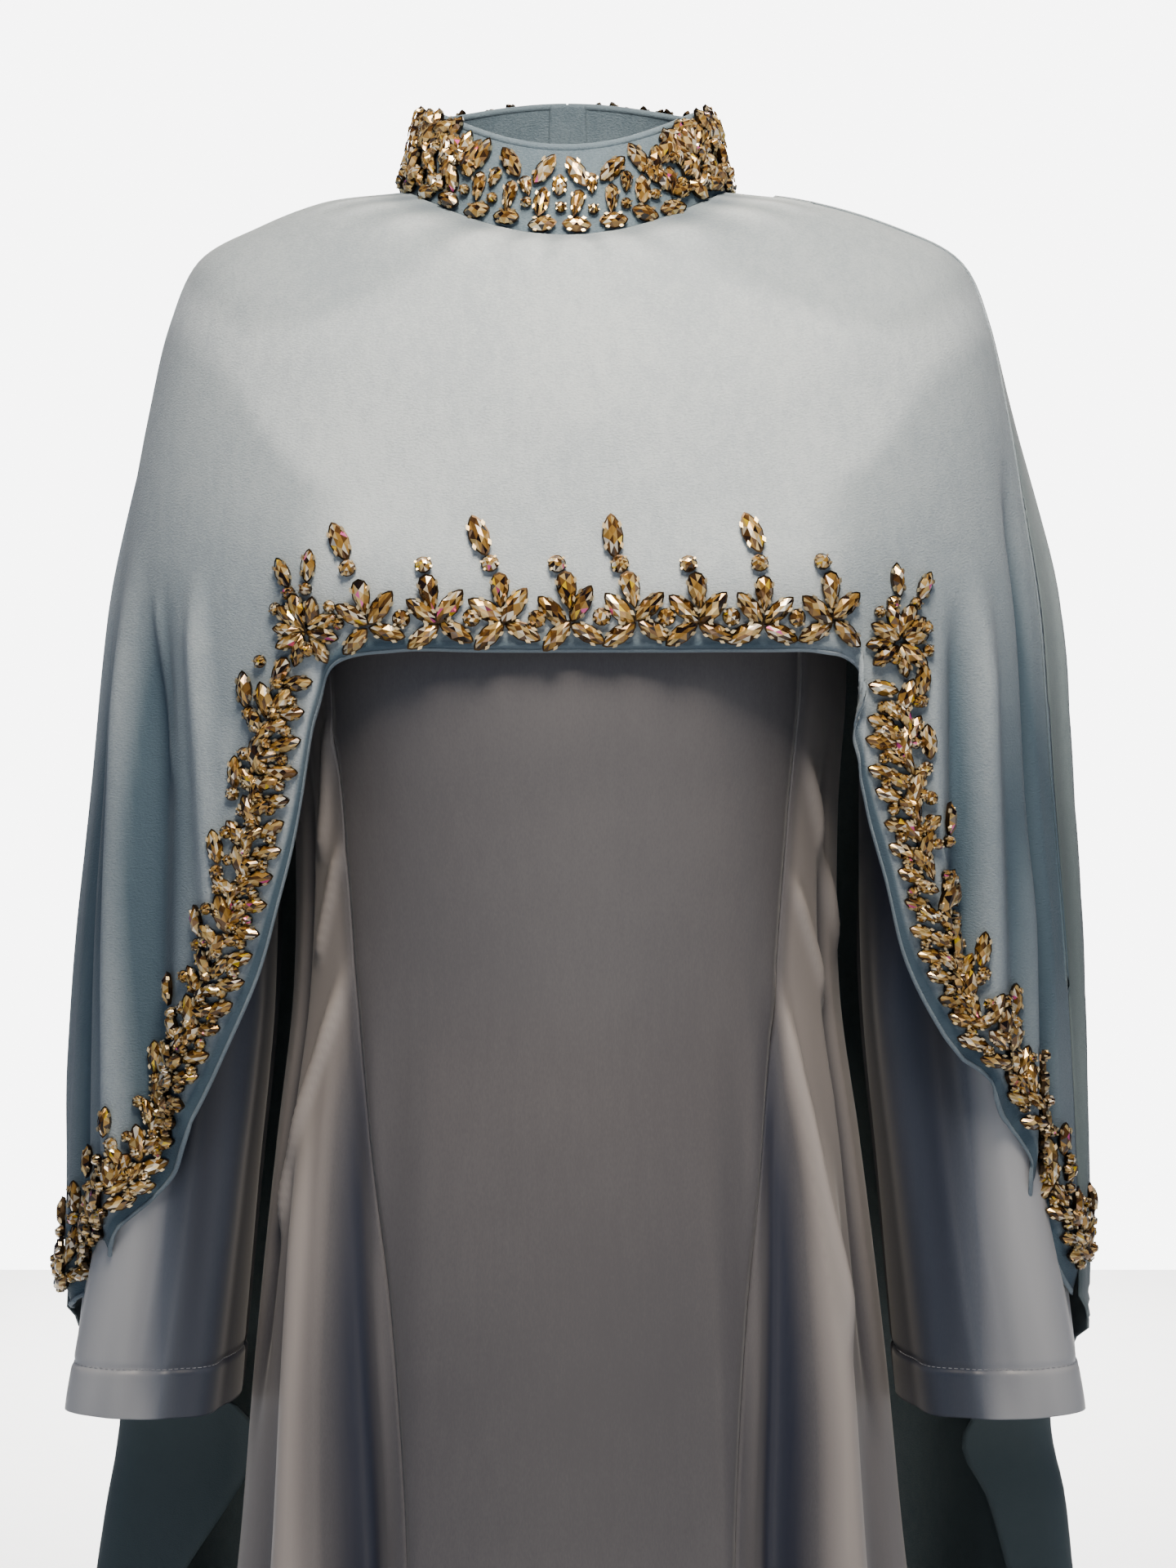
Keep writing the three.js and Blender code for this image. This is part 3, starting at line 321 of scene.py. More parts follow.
class Wire:
    """A value in a shader. An expression on wires adds the Math nodes that work it out."""

    def __init__(self, finish, socket):
        self.finish, self.socket = finish, socket

    def math(self, operation, *values):
        return self.finish.node("ShaderNodeMath", {"operation": operation}, values)

    def __add__(self, other):
        return self.math("ADD", self, other)

    def __mul__(self, other):
        return self.math("MULTIPLY", self, other)

    def __sub__(self, other):
        return self.math("SUBTRACT", self, other)

    def __rsub__(self, other):
        return self.math("SUBTRACT", other, self)

    __radd__, __rmul__ = __add__, __mul__

    def between(self, start, end):
        """0 below start, 1 above end."""
        return self.finish.node("ShaderNodeMapRange", {"interpolation_type": "SMOOTHSTEP"},
                                {"Value": self, "From Min": start, "From Max": end})


class Finish:
    """A material, and the one method that adds a node to it."""

    def __init__(self, name, kept_in=None):
        self.material = (bpy.data.materials if kept_in is None else kept_in).new(name)
        self.material.use_nodes = True
        self.tree = self.material.node_tree
        self.tree.nodes.clear()

    def node(self, kind, settings=None, sockets=(), output=0):
        """Adds a node: its settings first, then the value or link of each socket."""
        made = self.tree.nodes.new(kind)
        for name, value in (settings or {}).items():
            setattr(made, name, value)
        for key, value in sockets.items() if isinstance(sockets, dict) else enumerate(sockets):
            if isinstance(value, Wire):
                self.tree.links.new(value.socket, made.inputs[key])
            else:
                made.inputs[key].default_value = value
        return Wire(self, made.outputs[output]) if made.outputs else made

    def place(self, scale=(1, 1, 1)):
        """The object's own coordinates in metres, stretched by scale."""
        coordinates = self.node("ShaderNodeTexCoord", output="Object")
        return self.node("ShaderNodeMapping", {}, {"Vector": coordinates, "Scale": scale})

    def noise(self, size, scale=(1, 1, 1), detail=2.0, roughness=0.5):
        """Noise with grains of a size in metres."""
        return self.node("ShaderNodeTexNoise", {}, {
            "Vector": self.place(scale), "Scale": 1 / size, "Detail": detail, "Roughness": roughness,
        })

    def mix(self, share, first, second):
        """A colour between two, by share."""
        return self.node("ShaderNodeMix", {"data_type": "RGBA"}, {0: share, 6: first, 7: second}, output=2)

    def bump(self, height, depth, strength=1.0):
        """Relief of a depth in metres."""
        return self.node("ShaderNodeBump", {}, {"Height": height, "Distance": depth, "Strength": strength})

    def done(self, **sockets):
        """Ends the material in a Principled shader with these sockets."""
        named = {name.replace("_", " "): value for name, value in sockets.items()}
        shader = self.node("ShaderNodeBsdfPrincipled", {}, named)
        self.node("ShaderNodeOutputMaterial", {}, {"Surface": shader})
        return self.material


def linear(red, green, blue):
    """A colour as it is read off a screen, 0 to 255, in the linear light that shaders use."""
    value = np.array([red, green, blue]) / 255
    value = np.where(value < 0.04045, value / 12.92, ((value + 0.055) / 1.055) ** 2.4)
    return (*value, 1.0)


# %% [markdown]
# ## Crepe, chiffon and satin
# Crepe is woven from hard-twisted yarn that crinkles the cloth into fine grains, a little wider than
# they are high. Chiffon is the same yarn at its thinnest and hangs in soft vertical lines. The gown's
# satin-backed crepe is worn with its smooth side out, so its finer grain shines when it turns away.
# A weave could be drawn thread by thread, but at this distance only its grain is seen, so noise of the
# grain's size gives both the colour and a bump. Real folds are deeper than these surfaces, so each
# piece also carries a number for its hollows and crests, by which shade is painted into the hollows and
# a highlight onto the crests. The sleeves' satin and the collar's crepe are painted in their own shade.

# %% The cloths
def painted_shade_and_highlight(finish, colour, deep, crest):
    """A colour with painted light: it goes towards deep, a painted shade, in the hollows of the cloth and
    towards crest, a painted highlight, on its crests, as the piece's own "fold" says: 1 in a hollow, -1 on
    a crest, 0 on plain cloth."""
    fold = finish.node("ShaderNodeAttribute", {"attribute_name": "fold"}, output="Fac")
    colour = finish.mix(fold.math("MAXIMUM", fold, 0.0), colour, deep)
    return finish.mix(fold.math("MAXIMUM", 0.0 - fold, 0.0), colour, crest)


def crepe_finish(name, light, dark, deep, grain=0.0014, relief=0.0009):
    """Crinkled cloth between two colours. grain is the size and relief the depth of its grains, in
    metres. deep is painted into its hollows as painted shade, and light onto its crests as a painted
    highlight."""
    finish = Finish(name)
    grains = finish.noise(grain, (1, 1, 1.7), 3.0, 0.62)
    crinkle = finish.noise(grain * 4, (1, 1, 0.45), 2.0, 0.5)
    cloudy = finish.noise(0.07, detail=3.0)
    tone = grains * 0.5 + crinkle * 0.2 + cloudy * 0.3
    return finish.done(
        Base_Color=painted_shade_and_highlight(finish, finish.mix(tone.between(0.36, 0.62), dark, light), deep, light),
        Roughness=0.86 - grains * 0.16,
        Normal=finish.bump(grains * 0.7 + crinkle * 0.6, relief, 0.8),
        Sheen_Weight=0.1, Sheen_Roughness=0.5, Specular_IOR_Level=0.3,
    )


def satin_finish(name, light, dark, deep, crest):
    """Smooth shining cloth with fine threads and a few thicker ones down its length. deep is painted into
    its hollows as painted shade, and crest onto its crests as a painted highlight.
    """
    finish = Finish(name)
    threads = finish.noise(0.0007, (1, 1, 0.3), 2.0, 0.6)
    slubs = finish.noise(0.004, (1, 1, 0.12), 2.0, 0.5)
    cloudy = finish.noise(0.16, detail=3.0)
    tone = threads * 0.35 + slubs * 0.12 + cloudy * 0.53
    return finish.done(
        Base_Color=painted_shade_and_highlight(finish, finish.mix(tone.between(0.34, 0.66), dark, light), deep, crest),
        Roughness=0.36 + threads * 0.12,
        Normal=finish.bump(threads + slubs * 0.3, 0.00008, 0.35),
        Sheen_Weight=0.2, Sheen_Roughness=0.4, Specular_IOR_Level=0.6,
    )


# The third colour of each finish is the painted shade of its hollows; a satin's fourth, and a crepe's light
# colour, is the painted highlight of its crests.
MATERIALS = {
    "crepe": crepe_finish("crepe", linear(200, 213, 221), linear(176, 190, 201), linear(74, 95, 110)),
    "chiffon": crepe_finish("chiffon", linear(172, 188, 192), linear(146, 164, 170), linear(84, 98, 102),
                            0.0009, 0.0003),
    "satin": satin_finish("satin", linear(101, 100, 103), linear(89, 88, 92), linear(42, 47, 64),
                          linear(166, 160, 157)),
    # The sleeves' satin is the gown's satin painted cooler and darker, as painted shade, with a navy painted
    # shade in hollows and a pale painted highlight on crests.
    "sleeve satin in painted shade": satin_finish("sleeve satin in painted shade", linear(92, 100, 114), linear(80, 88, 102),
                                 linear(14, 24, 46), linear(176, 180, 186)),
    # The collar's crepe is the cape's crepe painted darker, as painted shade.
    "collar crepe in painted shade": crepe_finish("collar crepe in painted shade", linear(112, 132, 146), linear(92, 112, 127),
                                 linear(60, 82, 98)),
}
print("finishes:", ", ".join(MATERIALS))

# %% [markdown]
# ## Cloth from a grid
# Cloth is nearly flat, so its mesh is best laid out as a grid of points on its surface. The grid is
# turned into a mesh in one call, and a Solidify modifier gives it its thickness inwards, so that the
# outer face stays where the surface says.

# %% From a grid to a piece of cloth
CLOTH = 1.1                     # thickness of the cloth, in millimetres


def grid_faces(rows, columns, closed=False):
    """The squares of a grid, turned so that they face outwards when the angle grows to the right and
    the length grows downwards."""
    index = np.arange(rows * columns).reshape(rows, columns)
    if closed:
        index = np.hstack([index, index[:, :1]])
    corners = [index[:-1, :-1], index[1:, :-1], index[1:, 1:], index[:-1, 1:]]
    return np.stack(corners, -1).reshape(-1, 4)


def mesh_piece(name, points, faces, material, smooth_shaded=True):
    """A mesh object at the origin, through points in millimetres."""
    mesh = bpy.data.meshes.new(name)
    mesh.from_pydata(np.reshape(points, (-1, 3)) * MM, [], faces)
    mesh.validate()
    if smooth_shaded:
        mesh.shade_smooth()
    else:
        mesh.shade_flat()
    mesh.materials.append(material)
    piece = bpy.data.objects.new(name, mesh)
    bpy.context.scene.collection.objects.link(piece)
    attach(piece, "root")
    return piece


def sheet_area(points, faces):
    """The area of a grid in square metres: half the cross product of each square's diagonals."""
    corners = np.reshape(points, (-1, 3))[faces] * MM
    diagonals = np.cross(corners[:, 2] - corners[:, 0], corners[:, 3] - corners[:, 1])
    return np.linalg.norm(diagonals, axis=-1).sum() / 2


def cloth(name, points, node, slot, closed=False, thickness=CLOTH, finish=None, fold=None):
    """A piece of cloth through a grid of points, which stands for a solid. fold is the painted shade of each
    point in its hollows and its painted highlight on its crests."""
    faces = grid_faces(*points.shape[:2], closed)
    steps = [np.linalg.norm(np.diff(points, axis=axis), axis=-1).sum(axis).max() for axis in (1, 0)]
    print(name, "area", round(sheet_area(points, faces), 4), "widest, longest", np.round(steps))
    piece = mesh_piece(name, points, faces, MATERIALS[finish or slot])
    if fold is not None:
        # The fold attribute carries the painted shade and highlight into the finish.
        shade = piece.data.attributes.new("fold", "FLOAT", "POINT")
        shade.data.foreach_set("value", np.clip(fold, -1, 1).astype(np.float32).ravel())
    wall = piece.modifiers.new("thickness", "SOLIDIFY")
    wall.thickness = thickness * MM
    wall.offset = -1
    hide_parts(node)
    print(name, points.shape[1], "by", points.shape[0], "points")
    return piece


# %% [markdown]
# ## The gown
# The gown is cut in five panels with princess seams, which carry the bust, the waist and the flare
# of the skirt. The panels could be cut flat and sewn in a simulation, but then no edge would lie where
# it should. Here the whole gown is one surface, and a panel is the stretch of it between two seams, so
# its edges follow its neighbours' exactly, 0.3 mm apart.

# %% The gown's rings, seams and folds
GOWN_RINGS = table(RING_COLUMNS, [
    [0, -7.6, 82.4, 70.4, 64.4, 33, -15, 2.0, -5],
    [44, 12, 120, 88, 82, 45, 8, 2.1, -5],
    [106, 38, 176, 108, 98, 70, 40, 2.2, -3],
    [188, 120, 168, 116, 100, 35, 25, 2.2, -3],
    [283, 212, 145, 120, 97, 5, 0, 2.2, -5],
    [321, 250, 143, 122, 95, 0, 0, 2.2, -5],
    [381, 310, 139, 108, 88, 0, 0, 2.2, -5],
    [469, 398, 140, 92, 80, 0, 0, 2.2, -5],
    [551, 480, 150, 97, 98, 0, 0, 2.2, -4],
    [651, 580, 159, 105, 118, 0, 0, 2.2, -3],
    [771, 700, 168, 118, 128, 0, 0, 2.2, -2],
    [1071, 1000, 205, 155, 165, 0, 0, 2.2, 0],
    [1530, 1455, 262, 205, 215, 0, 0, 2.2, 0],
])
GOWN_LENGTH = GOWN_RINGS["along"][-1]
SKIRT_HEM_DROP = GOWN_RINGS["drop"][-1]
PRINCESS_SEAM = table("along angle", [
    [0, 52], [321, 52], [469, 46], [620, 33], [771, 26], [1071, 25], [1530, 25],
])
SKIRT_FOLDS = table("angle width depth start", [
    [35, 11, -34, 405],
    [51, 11, 26, 405],
    [66, 9, -16, 450],
    [81, 9, 16, 480],
    [98, 10, -20, 430],
    [114, 10, 20, 430],
    [131, 10, -24, 430],
    [148, 10, 24, 430],
    [165, 10, -20, 430],
    [180, 9, 14, 430],
])
SKIRT_FOLD_GROWTH = 0.8
SEAM = 0.3                      # the gap between two pieces
PRINCESS_PULL = {"depth": 1.1, "width": 1.1}
SIDE_RUN = 71                   # below the underarm the length along the side is the drop and this
GOWN_CREASES = table(CREASE_COLUMNS, [
    [-48, -32, 375, 900, 8.0, -9.0],
    [-48, -74, 375, 530, 4.0, 5.0],
    [-61, -48, 420, 860, 7.0, 7.0],
    [-52, -60, 255, 335, 3.6, 3.6],
    [-50.5, -62, 318, 385, 3.2, 3.6],
    [-64, -78, 240, 640, 5.0, -4.0],
    [46.5, 33, 375, 900, 7.5, -10.0],
    [47, 55, 380, 580, 4.0, 7.0],
    [57, 47, 450, 860, 7.0, 6.0],
    [54, 80, 272, 385, 4.2, 4.2],
    [51, 70, 335, 410, 3.4, 3.6],
    [66, 72, 240, 640, 5.0, -4.0],
])


def skirt_push(degrees, drop):
    """How far the skirt's folds stand out: they grow as the share of the drop between their start and
    the hem, to the power of their growth."""
    return folded(SKIRT_FOLDS, np.abs(degrees), lambda fold: (
        np.maximum(0, (drop - fold["start"]) / (SKIRT_HEM_DROP - fold["start"])) ** SKIRT_FOLD_GROWTH
    ))


def gown_point(angle, along):
    """A point of the gown: its ring, pushed out by the skirt's folds and the soft creases of the side
    panels, and pulled in by a bell curve at the princess seams."""
    def push(degrees, drop):
        seam = reading(PRINCESS_SEAM, "along", "angle", drop + SIDE_RUN)
        pull = -PRINCESS_PULL["depth"] * np.exp(-((np.abs(degrees) - seam) / PRINCESS_PULL["width"]) ** 2)
        return pull + creased(GOWN_CREASES, degrees, drop) + skirt_push(degrees, drop)
    return ring_point(GOWN_RINGS, along, angle, push)


# The painted shade of the gown's satin in its folds and creases, and the painted highlight of its side
# panels.
GOWN_SHADE = {"fold": 14, "crease": 6, "side": 0.62}
SHINE_BETWEEN = {"past seam": (0, 5), "bust": (190, 300), "thigh": (480, 640), "skirt": (560, 900)}


def gown_painted_shade(angle, along):
    """The painted shade of the gown's cloth: the depth of its folds over 14 mm and of its creases over 6 mm,
    with a painted highlight on their crests. The satin of the side panels is painted lighter from the
    princess seam outwards, as a painted highlight where it catches the light."""
    drop = reading(GOWN_RINGS, "along", "drop", along)
    seam = reading(PRINCESS_SEAM, "along", "angle", along)
    side = smooth(np.abs(angle) - seam, *SHINE_BETWEEN["past seam"]) * smooth(drop, *SHINE_BETWEEN["bust"])
    side = side * (1 - 0.6 * smooth(drop, *SHINE_BETWEEN["thigh"]))
    deep = np.clip(-skirt_push(angle, drop) / GOWN_SHADE["fold"], -1, 1)
    deep = deep * smooth(drop, *SHINE_BETWEEN["skirt"])
    return deep - side * GOWN_SHADE["side"] - creased(GOWN_CREASES, angle, drop) / GOWN_SHADE["crease"]


# %% The panels
ARMHOLE = {"shoulder": 106, "underarm": 283, "front": 26, "back": 24, "roundness": 0.6}
FINE_LENGTH = 800               # three quarters of the rows lie above this length, where creases are small


def side_angle(along, reach):
    """The side seam at 90 degrees, which opens into the armhole by reach sin(pi share)^roundness."""
    share = np.clip((along - ARMHOLE["shoulder"]) / (ARMHOLE["underarm"] - ARMHOLE["shoulder"]), 0, 1)
    return 90 + reach * np.sin(np.pi * share) ** ARMHOLE["roundness"]


def princess(along):
    """The angle of the princess seam."""
    return reading(PRINCESS_SEAM, "along", "angle", along)


def front_edge(along):
    """The armhole's front edge, and the side seam below it."""
    return side_angle(along, -ARMHOLE["front"])


def back_edge(along):
    """The armhole's back edge, and the side seam below it."""
    return side_angle(along, ARMHOLE["back"])


def centre_back(along):
    """The seam at the centre back, at 180 degrees all the way."""
    return 180 + 0 * along


def gown_panel(start, end, columns, rows):
    """The gown between two seams, each an angle that changes along the gown."""
    fine = rows * 3 // 4
    lengths = np.sort(np.concatenate([
        np.linspace(0, FINE_LENGTH, fine), np.linspace(FINE_LENGTH, GOWN_LENGTH, rows - fine + 1)[1:],
        [ARMHOLE["shoulder"], ARMHOLE["underarm"]],
    ]))[:, None]
    gap = np.degrees(SEAM / 2 / reading(GOWN_RINGS, "along", "half", lengths))
    angles = mix(start(lengths) + gap, end(lengths) - gap, np.linspace(0, 1, columns)[None, :])
    return gown_point(angles, lengths), gown_painted_shade(angles, lengths)


def mirrored(seam):
    """The same seam on the wearer's right."""
    return lambda along: -seam(along)


GOWN_PANELS = [
    ("gown_front", mirrored(princess), princess, 56),
    ("gown_side_left", princess, front_edge, 64),
    ("gown_side_right", mirrored(front_edge), mirrored(princess), 64),
    ("gown_back_left", back_edge, centre_back, 72),
    ("gown_back_right", mirrored(centre_back), mirrored(back_edge), 72),
]
GOWN_ROWS = 200
for node, start, end, columns in GOWN_PANELS:
    points, fold = gown_panel(start, end, columns, GOWN_ROWS)
    cloth(node + "_satin", points, node, "satin", fold=fold)

# %% [markdown]
# ## The sleeves
# A bell sleeve is a tube that starts at the armhole and widens to the wrist. A tube along a curve
# would keep its rings square to it. These lie askew at the shoulder and level at the hem, as the
# sleeve is cut, so each ring is given by its outer and its inner point.

# %% The sleeves
SLEEVE_RINGS = table("along outer_x outer_z inner_x inner_z front back", [
    [0.07, 203, -62, 153, -212, 60, 60],
    [0.16, 216, -110, 153, -222, 64, 62],
    [0.30, 229, -215, 150, -265, 66, 62],
    [0.60, 244, -400, 151, -400, 66, 60],
    [0.80, 248, -500, 160, -500, 66, 54],
    [1.00, 260, -606, 169, -606, 70, 50],
])
SLEEVE_SEAM = 0.8
SLEEVE_SHIFT = -4


def sleeve_point(side, turn, along):
    """A point of a sleeve: turn is 0 at its front, a quarter on the outside, a half behind. The ring
    is an ellipse askew between its inner and outer points, and the first one is the armhole itself."""
    turn, along = np.broadcast_arrays(turn, along)
    sine, cosine = np.sin(2 * np.pi * turn), np.cos(2 * np.pi * turn)
    first = SLEEVE_RINGS["along"][0]
    value = {column: reading(SLEEVE_RINGS, "along", column, np.maximum(along, first))
             for column in SLEEVE_RINGS if column != "along"}
    outward = (1 + sine) / 2
    ring = np.stack([
        mix(side * value["inner_x"] + SLEEVE_SHIFT, side * value["outer_x"], outward),
        -np.where(cosine > 0, value["front"], value["back"]) * cosine,
        mix(value["inner_z"], value["outer_z"], outward),
    ], -1)
    armhole_along = mix(ARMHOLE["underarm"], ARMHOLE["shoulder"], outward)
    edge = np.where(cosine > 0, front_edge(armhole_along), back_edge(armhole_along))
    armhole = gown_point(side * edge, armhole_along)
    armhole[..., 0] += side * SLEEVE_SEAM
    return mix(armhole, ring, np.clip(along / first, 0, 1)[..., None])


# %% [markdown]
# ### Creases, hem and stitches
# A sleeve hangs in a few soft creases down its front and back, and its hem is folded up and stitched
# 20 mm above the edge. The creases push the surface along its normal, as on the cape. The stitches
# could be a bump, but single threads catch the light, so each one is a small mesh.

# %% The creases and the hem of the sleeves
SLEEVE_CREASES = table(CREASE_COLUMNS, [
    [0.02, 0.15, 0.50, 1.10, 0.065, 6.0],
    [-0.06, 0.02, 0.45, 1.05, 0.060, -6.0],
    [-0.15, -0.10, 0.45, 1.15, 0.060, 5.0],
    [0.26, 0.22, 0.55, 1.10, 0.060, -3.0],
    [0.42, 0.40, 0.40, 1.15, 0.080, 5.0],
    [0.55, 0.56, 0.40, 1.15, 0.070, -5.0],
    [0.68, 0.66, 0.40, 1.10, 0.070, 4.0],
])
SLEEVE_HEM = 0.955              # the hem is stitched at this share of the sleeve
HEM_RISE, STITCH_PULL, STITCH_REACH = 0.6, 0.7, 0.004
# Painted light on the sleeves: the inside and the back are painted dark as painted shade, and a crest
# outside at the front is painted light as a painted highlight; OUTSIDE, FRONT and SLANT say where that crest
# comes in.
SLEEVE_SHADE = {"inside": 0.9, "outside": 1.75, "crease": 14}
OUTSIDE, FRONT, SLANT = (0.24, 0.54), (-0.6, 0.1), 0.10     # where the crest of the sleeve comes in
SLEEVE_COLUMNS, SLEEVE_ROWS = 190, 130


def from_front(turn):
    """The turn counted from -0.3 to 0.7, so that no crease is cut in two at the front."""
    return (turn + 0.3) % 1 - 0.3


def worn_sleeve(side, turn, along):
    """The sleeve pushed out along its normal by its creases; the hem stands proud below its stitching,
    which pulls the cloth in by a bell curve."""
    step = 0.004
    by_turn = sleeve_point(side, turn + step, along) - sleeve_point(side, turn - step, along)
    by_along = sleeve_point(side, turn, along + step) - sleeve_point(side, turn, along - step)
    out = unit(np.cross(by_along, by_turn)) * side
    push = creased(SLEEVE_CREASES, from_front(turn), along)
    push = push + HEM_RISE * smooth(along, SLEEVE_HEM, SLEEVE_HEM + STITCH_REACH)
    push = push - STITCH_PULL * np.exp(-((along - SLEEVE_HEM) / STITCH_REACH) ** 2)
    return sleeve_point(side, turn, along) + out * push[..., None], out


def sleeve_painted_shade(turn, along):
    """The painted shade of a sleeve: painted dark towards the body and behind, with a painted highlight on a
    crest outside at the front, and in its creases their depth over 14 mm."""
    outward, ahead = (1 + np.sin(2 * np.pi * turn)) / 2, np.cos(2 * np.pi * turn)
    outside, front = smooth(outward + SLANT * (along - 0.8), *OUTSIDE), smooth(ahead, *FRONT)
    fold = SLEEVE_SHADE["inside"] - SLEEVE_SHADE["outside"] * outside * front
    return fold - creased(SLEEVE_CREASES, from_front(turn), along) / SLEEVE_SHADE["crease"]


SIDES_OF_SLEEVES = ((1, "sleeve_left"), (-1, "sleeve_right"))
FINE_HEM, FINE_HEM_ROWS = 0.94, 40      # the rows are close together from here to the edge
lengths = np.concatenate([
    np.linspace(0, FINE_HEM, SLEEVE_ROWS - FINE_HEM_ROWS), np.linspace(FINE_HEM, 1, FINE_HEM_ROWS + 1)[1:],
])[:, None]
for side, node in SIDES_OF_SLEEVES:
    turns = side * np.linspace(0, 1, SLEEVE_COLUMNS, endpoint=False)[None, :] % 1
    cloth(node + "_satin", worn_sleeve(side, turns, lengths)[0], node, "satin", closed=True,
                          finish="sleeve satin in painted shade", fold=sleeve_painted_shade(turns, lengths))


# %% The stitches
THREAD, STITCH_STEP = 0.18, 3.0         # radius of the thread, and the distance between two stitches
STITCH_STATIONS = table("ahead share up", [
    [-1.05, 0.4, -0.25], [-0.6, 1, 0.05], [0.6, 1, 0.05], [1.05, 0.4, -0.25],
])


def band(low, high):
    """Triangles between two closed rings of as many points, the low one outside."""
    next_low, next_high = np.roll(low, -1), np.roll(high, -1)
    return np.vstack([np.stack([low, next_low, next_high], -1), np.stack([low, next_high, high], -1)])


def stitches(name, places, ahead, out):
    """A row of stitches: each is a six-sided thread 2.1 mm long, whose rings are a share of its radius
    wide, with tapered ends that dip into the cloth."""
    side = np.cross(ahead, out)
    ring = np.arange(6) * np.pi / 3
    template = np.array([[x, np.cos(a) * THREAD * r, z + np.sin(a) * THREAD * r]
                         for x, r, z in zip(*STITCH_STATIONS.values()) for a in ring])
    rings = np.arange(24).reshape(4, 6)
    faces = np.vstack([band(rings[i], rings[i + 1]) for i in range(3)])
    caps = np.array([[0, 1 + i, 2 + i] for i in range(4)] + [[18, 20 + i, 19 + i] for i in range(4)])
    faces = np.vstack([faces, caps])[:, ::-1]
    points = (places[:, None] + ahead[:, None] * template[:, :1] + side[:, None] * template[:, 1:2]
              + out[:, None] * template[:, 2:])
    all_faces = (faces[None] + 24 * np.arange(len(places))[:, None, None]).reshape(-1, 3)
    piece = mesh_piece(name, points.reshape(-1, 3), all_faces, MATERIALS["thread"])
    print(name, len(places), "stitches")
    return piece


def thread_finish():
    """Twisted thread, a little lighter than the satin."""
    finish = Finish("thread")
    twist = finish.noise(0.0006, detail=2.0)
    return finish.done(Base_Color=finish.mix(twist, linear(128, 134, 146), linear(178, 182, 190)),
                       Roughness=0.5 + twist * 0.2, Normal=finish.bump(twist, 0.00005))


MATERIALS["thread"] = thread_finish()
fine = np.linspace(0, 1, 1200)
for side, node in SIDES_OF_SLEEVES:
    ring, out = worn_sleeve(side, fine, np.full(len(fine), SLEEVE_HEM))
    walked = np.append(0, np.cumsum(np.linalg.norm(np.diff(ring, axis=0), axis=1)))
    at = np.arange(0, walked[-1], STITCH_STEP)
    along_thread = unit(np.gradient(ring, axis=0))
    place, ahead, normal = (np.stack([np.interp(at, walked, grid[:, axis]) for axis in range(3)], -1)
                            for grid in (ring, along_thread, out))
    thread = stitches(node + "_stitches", place + normal * 0.2, unit(ahead), unit(normal))

# %% [markdown]
# ## The cape
# The front of the cape ends in a scoop. It could be cut out of a whole cape with a Boolean, which
# leaves a ragged edge of odd triangles. Here the hem is a curve over the cape's surface, and the lines
# down the front run from points of the neck to points of the hem, so the grid ends exactly there.

# %% The hem of the front
HEM = table("angle height", [
    [-90, -562], [-76, -553], [-63.5, -534], [-54, -508], [-45.5, -470], [-38.5, -428], [-33.5, -388],
    [-30.3, -345], [-28.3, -303], [-26.8, -262], [-24.5, -237], [-17, -231], [-8, -231], [0, -231],
    [8, -231], [17, -231], [25, -231], [30.3, -238], [29.4, -268], [30.3, -300], [32.5, -336],
    [35.2, -378], [40.5, -414], [48, -441], [56.5, -478], [62, -515], [67, -537], [74, -550],
])
HEM["share"] = np.linspace(0, 1, len(HEM["angle"]))


def along_at(angle, height):
    """The length along the cape at which an angle reaches a height, found by halving the interval."""
    low, high = np.zeros(np.shape(angle)), np.full(np.shape(angle), CAPE_LENGTH)
    for _ in range(40):
        half = (low + high) / 2
        above = ring_point(CAPE_RINGS, half, angle)[..., 2] > height
        low, high = np.where(above, half, low), np.where(above, high, half)
    return (low + high) / 2


hem_share = np.linspace(0, 1, 401)
hem_line = {"angle": reading(HEM, "share", "angle", hem_share)}
hem_line["along"] = along_at(hem_line["angle"], reading(HEM, "share", "height", hem_share))
hem_points = cape_point(hem_line["angle"], hem_line["along"])
hem_line["walked"] = np.append(0, np.cumsum(np.linalg.norm(np.diff(hem_points, axis=0), axis=1)))
HEM_LENGTH = hem_line["walked"][-1]
print("hem of the front:", round(HEM_LENGTH), "mm")


def hem_by_length(length):
    """The angle and the length along the cape of the hem's point at a distance from its right end."""
    return [np.interp(length, hem_line["walked"], hem_line[column]) for column in ("angle", "along")]


# %% [markdown]
# ### The front of the cape
# The crepe is turned under at the hem and finished with a narrow rolled edge, and it waves a little at
# the corner of the scoop. The turn and the waves push the surface along its normal. The roll is a thin
# ellipse carried along the edge, because a thickened sheet alone would end in a sharp step.

# %% The front of the cape
CAPE_FRONT_LINES = table("share neck", [[0, -90], [0.386, -27], [0.649, 30], [1, 80]])
CAPE_FRONT_COLUMNS, CAPE_FRONT_ROWS = 200, 150


def cape_row(share, length):
    """The length of a row at a share of the way to the hem. Rows crowd towards the neck where the cloth
    reaches far past the shoulder."""
    return length * share ** (1 + 0.6 * np.clip((length - 205) / 445, 0, 1))


def cape_front_place(across, down):
    """The angle and the length of a point of the front: across its hem, and down from the neck."""
    hem_angle, hem_along = hem_by_length(across * HEM_LENGTH)
    along = cape_row(down, hem_along)
    neck = np.interp(across, CAPE_FRONT_LINES["share"], CAPE_FRONT_LINES["neck"])
    gap = np.degrees(SEAM / 2 / reading(CAPE_RINGS, "along", "half", along))
    bend = np.where((across > 0) & (across < 1), 3, 1)
    return mix(neck, hem_angle, down ** bend) + mix(gap, -gap, across), along


